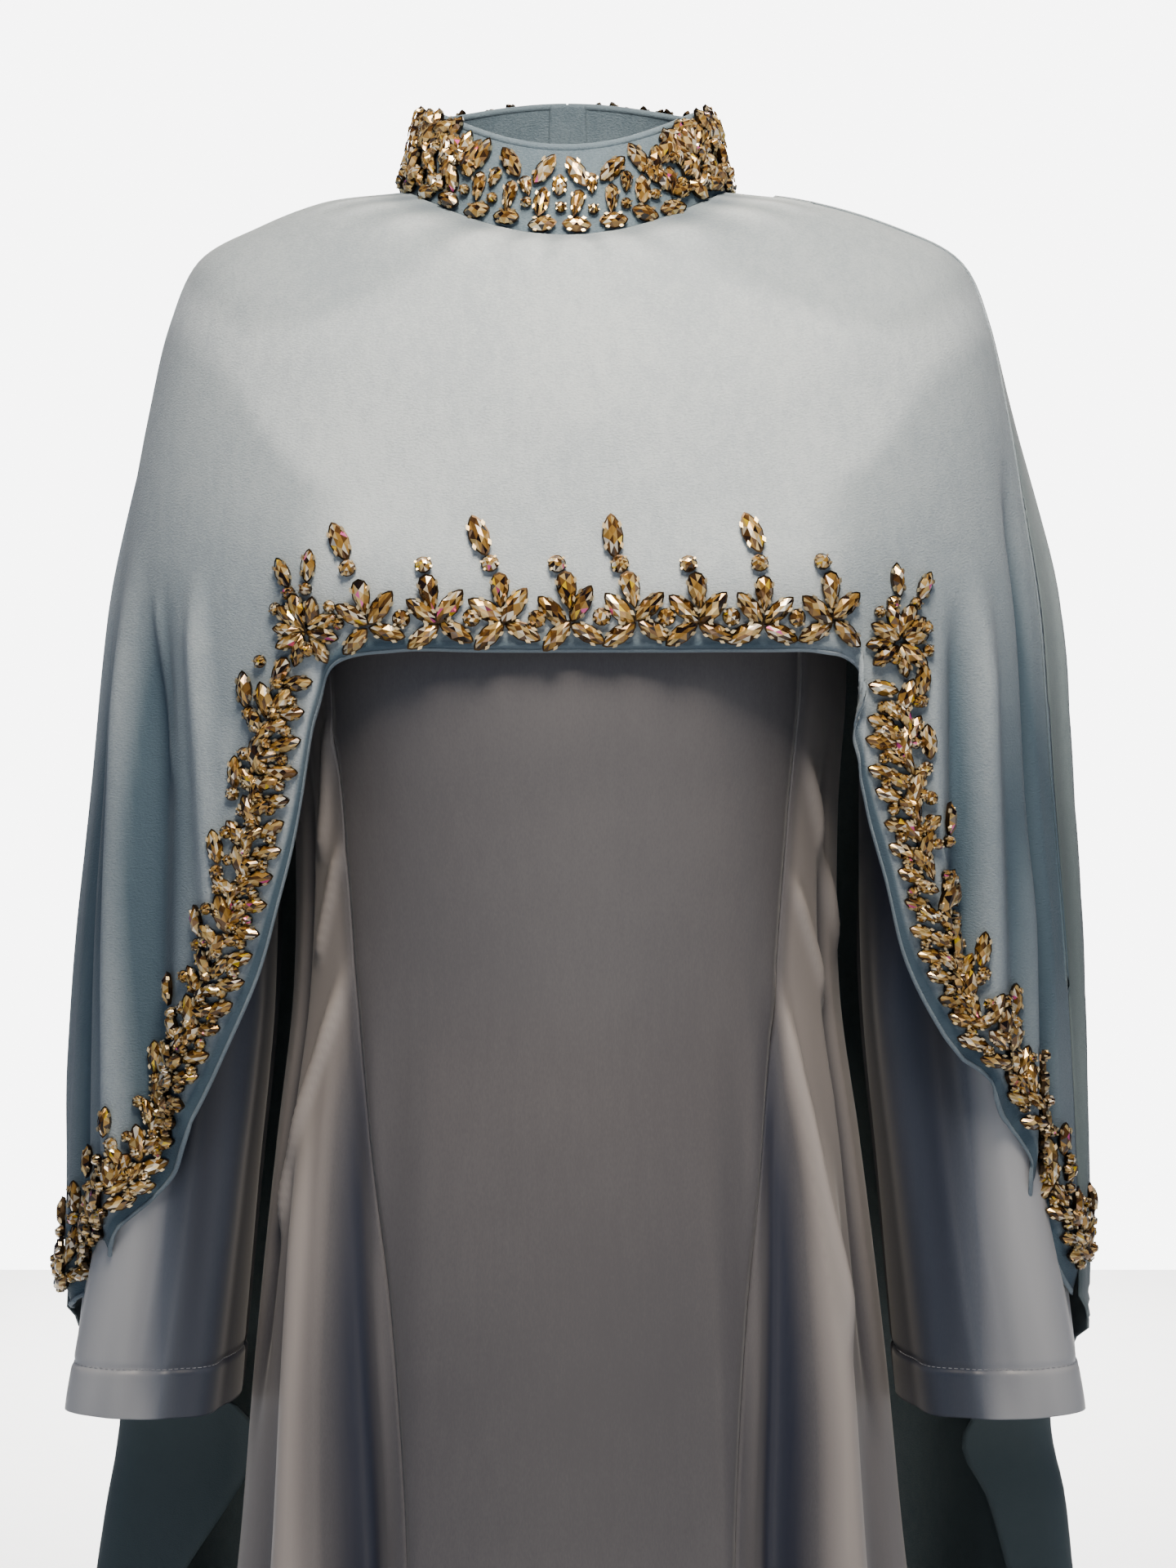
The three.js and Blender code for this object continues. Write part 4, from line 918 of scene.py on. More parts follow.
HEM_WAVES = table("middle reach length depth", [
    [0.665, 0.032, 21, 3.4], [0.40, 0.03, 34, 1.6], [0.5, 0.6, 70, 0.9],
])
TURN_UNDER = {"depth": 3.5, "share": 9 / 560}
HEM_CORNER = {"middle": 0.655, "reach": 0.035}


def front_surface(across, down):
    """The front of the cape, which turns under at the hem and waves out and in along its normal: depth
    sin(2 pi length / wave length), the most at the corner where the hem turns up."""
    across, down = np.broadcast_arrays(across, down)
    step = 0.001
    left, right = np.clip(across - step, 0.0001, 0.9999), np.clip(across + step, 0.0001, 0.9999)
    by_across = cape_point(*cape_front_place(right, down)) - cape_point(*cape_front_place(left, down))
    low, high = np.clip(down, step, 1), np.clip(down, step, 1) - step
    by_down = cape_point(*cape_front_place(across, low)) - cape_point(*cape_front_place(across, high))
    out = unit(np.cross(by_down, by_across))
    wave = -TURN_UNDER["depth"] * smooth(down, 1 - TURN_UNDER["share"], 1)
    for middle, reach, length, depth in zip(*HEM_WAVES.values()):
        near = np.exp(-((across - middle) / reach) ** 2) * smooth(down, 0.9, 1.0)
        wave = wave + near * depth * np.sin(2 * np.pi * across * HEM_LENGTH / length)
    return cape_point(*cape_front_place(across, down)) + out * wave[..., None], out


def at_corner(across):
    """1 at the corner of the scoop, falling in a bell curve to 0."""
    return np.exp(-((across - HEM_CORNER["middle"]) / HEM_CORNER["reach"]) ** 2)


across = np.linspace(0, 1, CAPE_FRONT_COLUMNS)[None, :]
down = (1 - (1 - np.linspace(0, 1, CAPE_FRONT_ROWS)) ** 1.25)[:, None]
across, down = np.broadcast_arrays(across, down)
from_edge = np.linalg.norm(front_surface(across, down)[0] - front_surface(across, 0 * down + 1)[0], axis=-1)
# Painted shade on the strip along the hem where the crepe turns under, weaker at the corner of the scoop, on
# top of the cape's painted shade.
turned = (1 - smooth(from_edge, 5, 15)) * (1 - 0.7 * at_corner(across))
fold = cape_painted_shade(*cape_front_place(across, down)) + 0.8 * turned
cape_front = cloth("cape_front_crepe", front_surface(across, down)[0], "cape_front", "crepe", fold=fold)


# %% The rolled hem of the front
ROLL_SIDES = 10


def rolled_edge(name, line, inward, out, width, thickness, finish, fold):
    """A narrow rolled hem: an ellipse of a width and a thickness carried along the line of the edge,
    width cos t / 2 along the cloth and thickness sin t / 2 across it, with closed ends."""
    turn = np.linspace(0, 2 * np.pi, ROLL_SIDES, endpoint=False)
    rings = (line[:, None] + inward[:, None] * (np.cos(turn) * width / 2)[None, :, None]
             + out[:, None] * (np.sin(turn) * thickness / 2)[None, :, None])
    faces = grid_faces(len(line), len(turn), closed=True)
    first, last = np.arange(len(turn)), np.arange(len(turn)) + (len(line) - 1) * len(turn)
    caps = [[first[0], first[i + 1], first[i]] for i in range(1, ROLL_SIDES - 1)]
    caps += [[last[0], last[i], last[i + 1]] for i in range(1, ROLL_SIDES - 1)]
    piece = mesh_piece(name, rings, faces.tolist() + caps, MATERIALS[finish])
    bm = bmesh.new()
    bm.from_mesh(piece.data)
    bmesh.ops.recalc_face_normals(bm, faces=bm.faces)
    bm.to_mesh(piece.data)
    bm.free()
    # The rolled edge's painted shade, the same for each ring.
    shade = piece.data.attributes.new("fold", "FLOAT", "POINT")
    shade.data.foreach_set("value", np.repeat(fold, len(turn)).astype(np.float32))
    print(name, len(line), "rings of", ROLL_SIDES)
    return piece


fine = np.linspace(0.002, 0.998, 1100)
hem_edge, hem_out = front_surface(fine, np.full(len(fine), 1.0))
hem_inward = unit(front_surface(fine, np.full(len(fine), 0.985))[0] - hem_edge)
# The rolled hem of the front is painted in shade, less at the corner of the scoop.
hem_shade = 0.72 - 0.45 * at_corner(fine)
front_hem = rolled_edge("cape_front_rolled_hem", hem_edge + hem_inward * 1.0 - hem_out * 0.4, hem_inward,
                        hem_out, width=2.8, thickness=2.2, finish="crepe", fold=hem_shade)

# %% [markdown]
# ### The back of the cape
# The chiffon back falls to the floor in two halves, and its free edge turns in behind the hand. Such a
# flap could be a second sheet, but cloth has no seam there. So each row is one line: it starts on the
# straight flap, goes round a small radius and runs on along the cape's ring to the centre back.

# %% The back of the cape
FLAP_TURN = 15                  # the radius of the turned edge
# FLAP_SHADE is painted shade on the flap that turns in behind the hand.
FLAP_SHADE = 0.6
CAPE_SIDES = {
    -1: {"neck": 90, "hem": 90, "edge": table("drop fold flap", [
        [562, 90, 0], [575, 98, 0], [588, 107, 6], [600, 114, 27], [612, 118, 60], [628, 120, 90],
        [650, 120, 100], [680, 118, 88], [720, 115, 66], [800, 108, 42], [950, 102, 26], [1435, 100, 22],
    ])},
    1: {"neck": 80, "hem": 74, "edge": table("drop fold flap", [
        [550, 74, 0], [572, 90, 0], [590, 103, 6], [605, 111, 28], [620, 115, 55], [645, 116, 72],
        [672, 113, 62], [712, 110, 52], [800, 105, 38], [950, 101, 26], [1435, 100, 22],
    ])},
}
CAPE_BACK_COLUMNS, CAPE_BACK_ROWS, ROWS_AT_SEAM = 110, 200, 90
RING_POINTS = 240


def cape_back_row(side, along, seam_end, shares):
    """One row of half of the back: the ring from the free edge to the centre back, and before it the
    flap, which turns in round a small radius and then runs straight on behind the ring."""
    half = CAPE_SIDES[side]
    drop = reading(CAPE_RINGS, "along", "drop", along)
    if along > seam_end:
        fold = reading(half["edge"], "drop", "fold", drop)
        flap = max(0, reading(half["edge"], "drop", "flap", drop))
    else:
        fold, flap = mix(half["neck"], half["hem"], along / seam_end), 0
    gap = np.degrees(SEAM / 2 / reading(CAPE_RINGS, "along", "half", along))
    around = side * np.linspace(fold + gap, 180 - gap, RING_POINTS)
    ring = cape_point(around, along)
    ring[:, 0] *= side
    walked = np.append(0, np.cumsum(np.linalg.norm(np.diff(ring, axis=0), axis=1)))
    distance = shares * (flap + walked[-1]) - flap
    on_ring = np.stack([np.interp(distance, walked, ring[:, axis]) for axis in range(3)], -1)
    heading = np.arctan2(ring[0, 1] - ring[1, 1], ring[0, 0] - ring[1, 0])
    turned = (heading + np.pi) % (2 * np.pi)
    turn = np.clip(-distance / FLAP_TURN, 0, turned)
    straight = np.maximum(0, -distance - FLAP_TURN * turned)
    on_flap = ring[0] + np.stack([
        FLAP_TURN * (np.sin(heading) - np.sin(heading - turn)) - straight,
        FLAP_TURN * (np.cos(heading - turn) - np.cos(heading)),
        0 * turn,
    ], -1)
    row = np.where(distance[:, None] < 0, on_flap, on_ring)
    row[:, 0] *= side
    # The row's painted shade, darker still on the flap.
    shade = cape_painted_shade(np.interp(distance, walked, around), along) + FLAP_SHADE * smooth(-distance, 0, 20)
    return row[::side], shade[::side]


for side, node in ((1, "cape_back_left"), (-1, "cape_back_right")):
    seam_end = hem_by_length(HEM_LENGTH if side > 0 else 0)[1]
    lengths = np.concatenate([
        cape_row(np.linspace(0, 1, ROWS_AT_SEAM), seam_end)[:-1],
        np.linspace(seam_end, CAPE_LENGTH, CAPE_BACK_ROWS - ROWS_AT_SEAM + 1),
    ])
    shares = np.linspace(0, 1, CAPE_BACK_COLUMNS)
    rows, fold = (np.stack(part) for part in zip(*(cape_back_row(side, along, seam_end, shares)
                                                   for along in lengths)))
    cloth(node + "_chiffon", rows, node, "chiffon", fold=fold)

# %% [markdown]
# ## The collar
# A stiffened band stands round the neck and closes at the back, where a narrow underlap lies behind the
# slit. It could be a plain tube, but it leans with the neck and is lower at the front. So it is the
# surface between two rings, as the cape is, with a rolled edge on top.

# %% The collar
COLLAR_RINGS = table(RING_COLUMNS, [
    [0, -51, 72, 60, 56, 28, -17, 2, -5],
    [46, -8.5, 82.6, 70, 64.2, 33, -15, 2, -5],
])
COLLAR_HEIGHT = 46
COLLAR_SLIT = 0.4               # half of the opening at the back, in degrees
COLLAR_EDGE_POINTS = 400
UNDERLAP = {"from": 172, "to": 188, "columns": 12, "inside": 3.2}


def collar_point(angle, along):
    """A point of the collar, at a length down from its top."""
    return ring_point(COLLAR_RINGS, along, angle)


turns = np.linspace(-180 + COLLAR_SLIT, 180 - COLLAR_SLIT, 200)[None, :]
heights = np.linspace(0, COLLAR_HEIGHT, 24)[:, None]
# The collar is made in its crepe painted darker, as painted shade.
collar = cloth("collar_crepe", collar_point(turns, heights), "collar", "crepe", thickness=2.4,
               finish="collar crepe in painted shade")

turns = np.linspace(-180 + COLLAR_SLIT, 180 - COLLAR_SLIT, COLLAR_EDGE_POINTS)
collar_top = collar_point(turns, 0.0)
collar_down = unit(collar_point(turns, 4.0) - collar_top)
collar_out = unit(np.cross(collar_down, np.gradient(collar_top, axis=0)))
# The rolled top edge is painted halfway towards the crepe's light colour, as a painted highlight.
collar_roll = rolled_edge("collar_rolled_edge", collar_top + collar_down * 0.8 - collar_out * 1.1,
                          collar_down, collar_out, width=4.2, thickness=3.8, finish="collar crepe in painted shade",
                          fold=np.full(COLLAR_EDGE_POINTS, -0.5))

underlap_turns = np.linspace(UNDERLAP["from"], UNDERLAP["to"], UNDERLAP["columns"])[None, :]
inward = -unit(collar_point(underlap_turns, heights) * [1, 1, 0]) * UNDERLAP["inside"]
underlap = mesh_piece("collar_underlap", collar_point(underlap_turns, heights) + inward,
                      grid_faces(len(heights), UNDERLAP["columns"]), MATERIALS["collar crepe in painted shade"])
underlap.modifiers.new("thickness", "SOLIDIFY").thickness = CLOTH * MM

# %% [markdown]
# ## Stones
# The borders are sewn from single glass stones: leaf-shaped marquises, pears and rounds, each in a
# metal cup with four claws. A stone is cut with flat facets, and it is the facets' different slopes
# that sparkle, so the meshes are flat shaded. One model of each cut is worked out once, and numpy
# sets all its copies on the cloth together.

# %% The cut of a stone
SIDES = 12                      # corners of a stone's outline
GIRDLE, CROWN = 2.1, 4.6        # heights of a stone's widest line and of its top, above the cloth
TOP_SHARE = 0.5                 # the flat top, as a share of the stone


def outline(cut, sides, turn=0.0):
    """The outline of a cut, one unit long and wide: x = cos^p t / 2 and y = sin t / 2, where p above
    1 makes the ends pointed. A pear narrows towards its lower end as well."""
    t = 2 * np.pi * (np.arange(sides) + turn) / sides
    power = 1.5 if cut == "marquise" else 1.0
    x, y = np.sign(np.cos(t)) * np.abs(np.cos(t)) ** power / 2, np.sin(t) / 2
    if cut == "pear":
        x = x * (0.5 + y) ** 0.5 * 1.12
    return np.stack([x, y], -1)


def lifted(ring, height):
    """A flat outline set at a height above the cloth."""
    return np.hstack([ring, np.full((len(ring), 1), height)])


def cut_stone(cut):
    """A faceted stone: its foot, its girdle, three facets to each side of the top, and the top."""
    top_ring = outline(cut, SIDES // 2, 0.5) * TOP_SHARE
    points = np.vstack([
        lifted(outline(cut, SIDES) * 0.85, 0.5), lifted(outline(cut, SIDES), GIRDLE),
        lifted(top_ring, CROWN), [[0, 0, CROWN + 0.2]],
    ])
    foot, rim = np.arange(SIDES), np.arange(SIDES, 2 * SIDES)
    top = np.arange(2 * SIDES, 2 * SIDES + SIDES // 2)
    even, odd, before = rim[0::2], rim[1::2], np.roll(top, 1)
    facets = [
        np.stack([even, odd, top], -1),
        np.stack([odd, np.roll(even, -1), top], -1),
        np.stack([even, top, before], -1),
        np.stack([top, np.roll(top, -1), np.full(len(top), len(points) - 1)], -1),
    ]
    return points, np.vstack([band(foot, rim), *facets])


def cut_setting(cut):
    """The cup under a stone, and four claws that reach over its girdle."""
    ring = outline(cut, SIDES)
    points = [lifted(ring * 0.98, 0.1), lifted(ring * 1.1, GIRDLE), lifted(ring * 0.96, GIRDLE + 0.15)]
    foot, rim, lip = (np.arange(SIDES) + i * SIDES for i in range(3))
    faces = [band(foot, rim), band(rim, lip)]
    for claw, corner in enumerate((1, 5, 7, 11)):
        beside = (ring[(corner + 1) % SIDES] - ring[corner - 1]) * 0.13
        base = [ring[corner] * 1.16 - beside, ring[corner] * 1.16 + beside,
                ring[corner] * 0.86 + beside, ring[corner] * 0.86 - beside]
        points += [lifted(base, GIRDLE - 0.5), lifted(base, GIRDLE + 1.1)]
        low = np.arange(4) + 3 * SIDES + 8 * claw
        high = low + 4
        faces += [band(low, high), high[[[0, 1, 2], [0, 2, 3]]]]
    return np.vstack(points), np.vstack(faces)


# %% [markdown]
# ### Setting the stones
# Stones could be scattered with geometry nodes, but a sewn border is laid out by hand, stone by stone.
# Here each stone is told how far to walk over the cloth from its motif's hub, and it is set there with
# its foot on the cloth, leaning a little by chance.

# %% Setting stones on the cloth
def frame_at(surface, angle, along):
    """The change of the surface by angle and by length, and the direction out of it."""
    by_angle = (surface(angle + 0.25, along) - surface(angle - 0.25, along)) * 2
    by_along = (surface(angle, along + 1) - surface(angle, along - 1)) / 2
    return by_angle, by_along, unit(np.cross(by_along, by_angle))


def walk(surface, angle, along, way):
    """The place reached by walking a way, a vector in space, over the surface in five steps."""
    step = way / 5
    length = np.linalg.norm(step, axis=-1, keepdims=True)
    for _ in range(5):
        by_angle, by_along, out = frame_at(surface, angle, along)
        step = unit(step - out * np.sum(step * out, -1, keepdims=True)) * length
        aa, ab, bb = (np.sum(a * b, -1) for a, b in
                      ((by_angle, by_angle), (by_angle, by_along), (by_along, by_along)))
        da, db = np.sum(step * by_angle, -1), np.sum(step * by_along, -1)
        angle = angle + (da * bb - db * ab) / (aa * bb - ab * ab)
        along = along + (db * aa - da * ab) / (aa * bb - ab * ab)
    return angle, along


CUTS = ("marquise", "pear", "round")
STONE_FACES, SETTING_FACES = len(cut_stone("round")[1]), len(cut_setting("round")[1])
chance = np.random.default_rng(11)


def stone_border(name, surface, hubs, stones, node):
    """Sets stones on a surface. A hub gives an angle, a length and the direction up there; a stone
    its hub, its place right of and above the hub, its turn clockwise, its length, width and cut."""
    hub_angle, hub_along, hub_up = hubs
    number = stones[:, 0].astype(int)
    right, above, turn, long, wide, cut, lift = stones[:, 1:].T
    angle, along, up = hub_angle[number], hub_along[number], hub_up[number]
    out = frame_at(surface, angle, along)[2]
    across = unit(np.cross(up, out))
    way = across * right[:, None] + up * above[:, None] + up * 1e-6
    angle, along = walk(surface, angle, along, way)
    out = frame_at(surface, angle, along)[2]
    ahead = up * np.cos(turn)[:, None] + across * np.sin(turn)[:, None]
    out = unit(out + chance.normal(0, 0.09, out.shape))
    ahead = unit(ahead - out * np.sum(ahead * out, -1, keepdims=True))
    side = np.cross(ahead, out)
    spot = surface(angle, along) + out * lift[:, None]

    made = {}
    for part, template, finish in (("stones", cut_stone, "stone"), ("claws", cut_setting, "claw metal")):
        all_points, all_faces, count = [], [], 0
        for index, kind in enumerate(CUTS):
            mine = cut == index
            points, faces = template(kind)
            spread = (spot[mine, None] + side[mine, None] * (points[:, :1] * wide[mine, None, None])
                      + ahead[mine, None] * (points[:, 1:2] * long[mine, None, None])
                      + out[mine, None] * points[:, 2:])
            offsets = count + len(points) * np.arange(mine.sum())
            all_points.append(spread.reshape(-1, 3))
            all_faces.append((faces[None] + offsets[:, None, None]).reshape(-1, 3))
            count += len(points) * mine.sum()
        faces = np.vstack(all_faces)
        piece = mesh_piece(f"{name}_{part}", np.vstack(all_points), faces, MATERIALS[finish], False)
        made[part] = piece
        # The facets' random numbers pick painted reflections on the stones; on the settings the attribute
        # marks the claws, which are painted pale as a painted highlight.
        shade = piece.data.attributes.new("facet", "FLOAT_COLOR", "FACE")
        if part == "stones":
            whole = np.concatenate([np.repeat(chance.random((cut == index).sum()), STONE_FACES)
                                    for index in range(len(CUTS))])
            tint = np.column_stack([chance.random((len(faces), 2)), whole, np.ones(len(faces))])
        else:
            prong = (np.arange(len(faces)) % SETTING_FACES >= 4 * SIDES) * 1.0
            tint = np.column_stack([prong, prong, prong, np.ones(len(faces))])
        shade.data.foreach_set("color", tint.ravel())
        print(name, part, len(stones), "with", len(faces), "triangles")
    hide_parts(node)
    return made


# %% [markdown]
# ### Glass and metal
# The backs of the stones are foiled with champagne gold, so each facet shows either the foil, a lamp
# or the dark between lamps. Each facet is given its own random numbers as an attribute, and the finish
# paints them as foil, as deep amber, a painted shade for the dark between lamps, or as a pale flash, a
# painted reflection of a lamp; a few get a painted pink or yellow sparkle. The setting's metal is painted
# dark on the cup, as painted shade round each stone, and pale on the claws, as a painted highlight.

# %% Glass and metal finishes
def stone_finish():
    """Foiled glass with painted reflections: the facet's own random level picks its colour between dark
    amber, painted for the dark between lamps, and a pale flash, painted for a lamp, and a few facets get a
    painted pink or yellow sparkle.
    """
    finish = Finish("champagne stone")
    tint = finish.node("ShaderNodeAttribute", {"attribute_name": "facet"}, output="Color")
    channels = finish.node("ShaderNodeSeparateColor", {}, [tint])
    level, cool, whole = (Wire(finish, channels.socket.node.outputs[i]) for i in range(3))
    level = level * 0.8 + whole * 0.2
    brown = finish.mix(level.between(0.16, 0.34), linear(34, 20, 8), linear(112, 76, 30))
    gold = finish.mix(level.between(0.34, 0.56), brown, linear(184, 142, 66))
    champagne = finish.mix(level.between(0.58, 0.74), gold, linear(222, 192, 124))
    flash = finish.mix(level.between(0.78, 0.86), champagne, linear(255, 248, 228))
    spark = finish.mix(cool.between(0.992, 0.994), flash, linear(232, 90, 170))
    yellow = finish.mix((1 - cool).between(0.988, 0.990), spark, linear(255, 214, 20))
    return finish.done(Base_Color=yellow, Metallic=0.5, Roughness=0.06 + 0.1 * cool, Coat_Weight=1.0,
                       Coat_Roughness=0.02)


def claw_finish():
    """The setting's metal, with a random tone on the cup: painted dark on the cup as painted shade round
    the stones, and pale on the claws as a painted highlight.
    """
    finish = Finish("claw metal")
    worn = finish.noise(0.004, detail=3.0)
    tint = finish.node("ShaderNodeAttribute", {"attribute_name": "facet"}, output="Fac")
    cup = finish.mix(worn, linear(38, 30, 24), linear(84, 66, 44))
    return finish.done(
        Base_Color=finish.mix(tint, cup, linear(236, 214, 168)),
        Metallic=0.9, Roughness=0.22 + worn * 0.2,
    )


MATERIALS["stone"] = stone_finish()
MATERIALS["claw metal"] = claw_finish()

# %% [markdown]
# ## The border of the scoop
# One motif repeats along the hem: two pointed leaves and a pear stand in a fan over a hub, a row of a
# round and a long leaf grows from the pear, two leaves hang to the hem and a round fills the gap to
# the next motif. On the steep flanks the motifs crowd together and their rows lie over uphill.

# %% The motifs of the hem
MARQUISE, PEAR, ROUND = range(3)
MOTIF_COLUMNS = "turn reach long wide cut lift"
FRONT_MOTIF = table(MOTIF_COLUMNS, [
    [-46, 9.8, 18.2, 8.4, MARQUISE, 0.6],
    [42, 9.8, 18.2, 8.4, MARQUISE, 0.6],
    [-4, 14.6, 17.0, 10.2, PEAR, 0.9],
    [-8, 28.0, 8.0, 8.0, ROUND, 0.3],
    [-8, 42.0, 19.6, 9.2, MARQUISE, 0.3],
    [-122, 9.2, 17.4, 8.0, MARQUISE, 0.3],
    [120, 9.2, 17.4, 8.0, MARQUISE, 0.3],
])
LONG_ROW = 4                    # only every second motif has this stone
CORNER_MOTIF = table(MOTIF_COLUMNS, [
    [0, 10.0, 17.0, 8.4, PEAR, 1.4],
    [-34, 9.6, 16.5, 7.6, MARQUISE, 0.8],
    [33, 9.8, 16.5, 7.6, MARQUISE, 1.0],
    [-72, 9.2, 15.5, 7.2, MARQUISE, 1.6],
    [74, 9.4, 15.5, 7.2, MARQUISE, 0.5],
    [112, 9.6, 16.0, 7.4, MARQUISE, 1.2],
    [150, 9.8, 15.0, 7.2, MARQUISE, 0.4],
    [-150, 9.6, 15.5, 7.2, MARQUISE, 0.9],
    [-112, 9.4, 15.0, 7.0, MARQUISE, 0.4],
    [180, 9.0, 6.0, 6.0, ROUND, 1.8],
    [-16, 19.5, 6.2, 6.2, ROUND, 0.5],
    [-16, 29.5, 15.5, 7.2, MARQUISE, 0.4],
    [17, 20.5, 6.0, 6.0, ROUND, 0.5],
    [15, 30.5, 15.0, 7.0, MARQUISE, 0.4],
    [-52, 17.5, 5.4, 5.4, ROUND, 0.6],
    [54, 17.5, 5.4, 5.4, ROUND, 0.6],
    [90, 17.0, 5.6, 5.6, ROUND, 0.4],
])
HEM_BORDER = table("share rise pitch lean", [
    [0, 17, 22, 20], [0.15, 17, 25, 22], [0.25, 18, 23, 33], [0.31, 20, 20, 42], [0.37, 19, 21, 40],
    [0.41, 14.5, 30.2, -4], [0.55, 14.5, 30.2, -4], [0.62, 14.5, 30.2, 0], [0.67, 19, 21, -40],
    [0.74, 20, 20, -42], [0.81, 18, 22, -33], [0.88, 17, 25, -22], [1, 17, 22, -20],
])
HEM_FRONT = (0.396, 0.646)
HEM_FIRST_HUB, HEM_END = 438.5, 8


def hub_lengths():
    """The hubs' lengths along the hem: from the first one both ways, each a pitch from the last."""
    def pitch(length):
        return float(reading(HEM_BORDER, "share", "pitch", length / HEM_LENGTH))
    before, after = [], [HEM_FIRST_HUB]
    while after[-1] + pitch(after[-1]) < HEM_LENGTH - HEM_END:
        after.append(after[-1] + pitch(after[-1]))
    length = HEM_FIRST_HUB - pitch(HEM_FIRST_HUB)
    while length > HEM_END:
        before.append(length)
        length -= pitch(length)
    return np.array(before[::-1] + after), len(before)


def motif_stones(hub, motif, lean, mirrored, skip):
    """The stones of one motif, each at its turn and reach from the hub, a little off by chance."""
    rows = np.stack([motif[column] for column in MOTIF_COLUMNS.split()], -1)
    rows = np.delete(rows, skip, axis=0)
    turn = np.radians(rows[:, 0] * (-1 if mirrored else 1) + lean + chance.normal(0, 4, len(rows)))
    reach = rows[:, 1] + chance.normal(0, 0.4, len(rows))
    own_turn = turn + np.radians(chance.normal(0, 5, len(rows)))
    size = rows[:, 2:4] * chance.normal(1, 0.03, (len(rows), 1))
    lift = rows[:, 5] + chance.random(len(rows)) * 0.5
    return np.column_stack([np.full(len(rows), hub), reach * np.sin(turn), reach * np.cos(turn),
                            own_turn, size, rows[:, 4], lift])


def hem_frame(lengths, rise):
    """Places that stand in from the hem by rise, each with its direction into the cloth."""
    edge_angle, edge_along = hem_by_length(lengths)
    onward = cape_point(*hem_by_length(lengths + 12)) - cape_point(*hem_by_length(lengths - 12))
    up = unit(np.cross(frame_at(cape_point, edge_angle, edge_along)[2], onward))
    return walk(cape_point, edge_angle, edge_along, up * rise[:, None]), up


lengths, first = hub_lengths()
shares = lengths / HEM_LENGTH
(hub_angle, hub_along), hub_up = hem_frame(lengths, reading(HEM_BORDER, "share", "rise", shares))
lean = reading(HEM_BORDER, "share", "lean", shares)
front_hubs = np.flatnonzero((shares > HEM_FRONT[0]) & (shares < HEM_FRONT[1]))

front_stones = []
for hub in front_hubs:
    short = (hub - first) % 2 == 1
    front_stones.append(motif_stones(hub, FRONT_MOTIF, lean[hub], False, [LONG_ROW] if short else []))
    if hub < front_hubs[-1]:
        gap = lengths[hub + 1] - lengths[hub]
        front_stones.append([[
            hub, gap / 2, 2 + chance.normal(0, 1.2), chance.random() * 3, 8, 8, ROUND, 0.3,
        ]])
front_stones = np.vstack(front_stones)
print("front of the hem:", len(front_hubs), "motifs with", len(front_stones), "stones")

# %% [markdown]
# ### The flanks
# Down the flanks the motifs merge into a crowded band. It could be built from the same motif, but the
# overlaps would be left to luck. Instead each kind of stone has its own row, which says how often it
# comes, how far from the hem it lies and how it is turned.

# %% The crowded rows of the flanks
FLANK_PITCH = 13.6
FLANK_ROWS = table("every start inward up turn long wide cut lift spread", [
    [1, 0.00, 10.5, 0, 80, 15.5, 7.2, MARQUISE, 0.4, 7],
    [1, 0.50, 17.5, 0, 60, 13.5, 6.6, MARQUISE, 1.7, 14],
    [2, 0.20, 23.0, 2, -14, 17.5, 8.6, MARQUISE, 1.3, 8],
    [2, 1.05, 21.0, 2, 24, 15.0, 7.6, PEAR, 1.5, 8],
    [2, 1.45, 28.0, 0, -36, 14.0, 7.0, MARQUISE, 0.6, 8],
    [1, 0.55, 11.5, 0, 0, 5.6, 5.6, ROUND, 0.4, 20],
    [1, 0.25, 28.5, 0, 0, 5.2, 5.2, ROUND, 0.6, 20],
    [1, 0.80, 19.0, 3, 10, 5.4, 5.4, ROUND, 2.6, 20],
    [3, 0.40, 32.0, 4, 0, 6.2, 6.2, ROUND, 0.4, 20],
    [3, 0.40, 32.0, 15, -4, 15.5, 7.2, MARQUISE, 0.4, 6],
    [3, 1.90, 31.0, 5, 0, 5.8, 5.8, ROUND, 0.4, 20],
])


def flank_stones(start, end, side):
    """The stones of a flank between two lengths of the hem. A stone lies inward from the hem, then up
    its own line; turn is measured from the vertical, clockwise on the wearer's right flank."""
    lengths = np.arange(start, end, FLANK_PITCH / 4)
    places, up = hem_frame(lengths, np.zeros(len(lengths)))
    out = frame_at(cape_point, *places)[2]
    vertical = np.arctan2(np.cross(up, out)[:, 2], up[:, 2])
    made = []
    for row in zip(*FLANK_ROWS.values()):
        every, first_column, inward, rise, turn, long, wide, cut, lift, spread = row
        hub = np.round(np.arange(first_column * 4, len(lengths) - 1, every * 4)).astype(int)
        count = len(hub)
        way = vertical[hub] + side * np.radians(turn + chance.normal(0, spread, count))
        line = vertical[hub] + side * np.radians(min(turn, 0))
        grown = 1 + chance.normal(0, 0.05, count)
        made.append(np.column_stack([
            hub, rise * np.sin(line) + chance.normal(0, 0.7, count),
            inward + rise * np.cos(line) + chance.normal(0, 0.8, count), way, long * grown, wide * grown,
            np.full(count, cut), lift + chance.random(count) * 0.6,
        ]))
    return (*places, up), np.vstack(made)


def joined(*borders):
    """One border out of several: their hubs in a row, and the stones' hub numbers moved on."""
    hubs = [np.concatenate(parts) for parts in zip(*(hubs for hubs, _ in borders))]
    moved, before = [], 0
    for border_hubs, stones in borders:
        moved.append(stones + np.array([before, 0, 0, 0, 0, 0, 0, 0]))
        before += len(border_hubs[0])
    return hubs, np.vstack(moved)


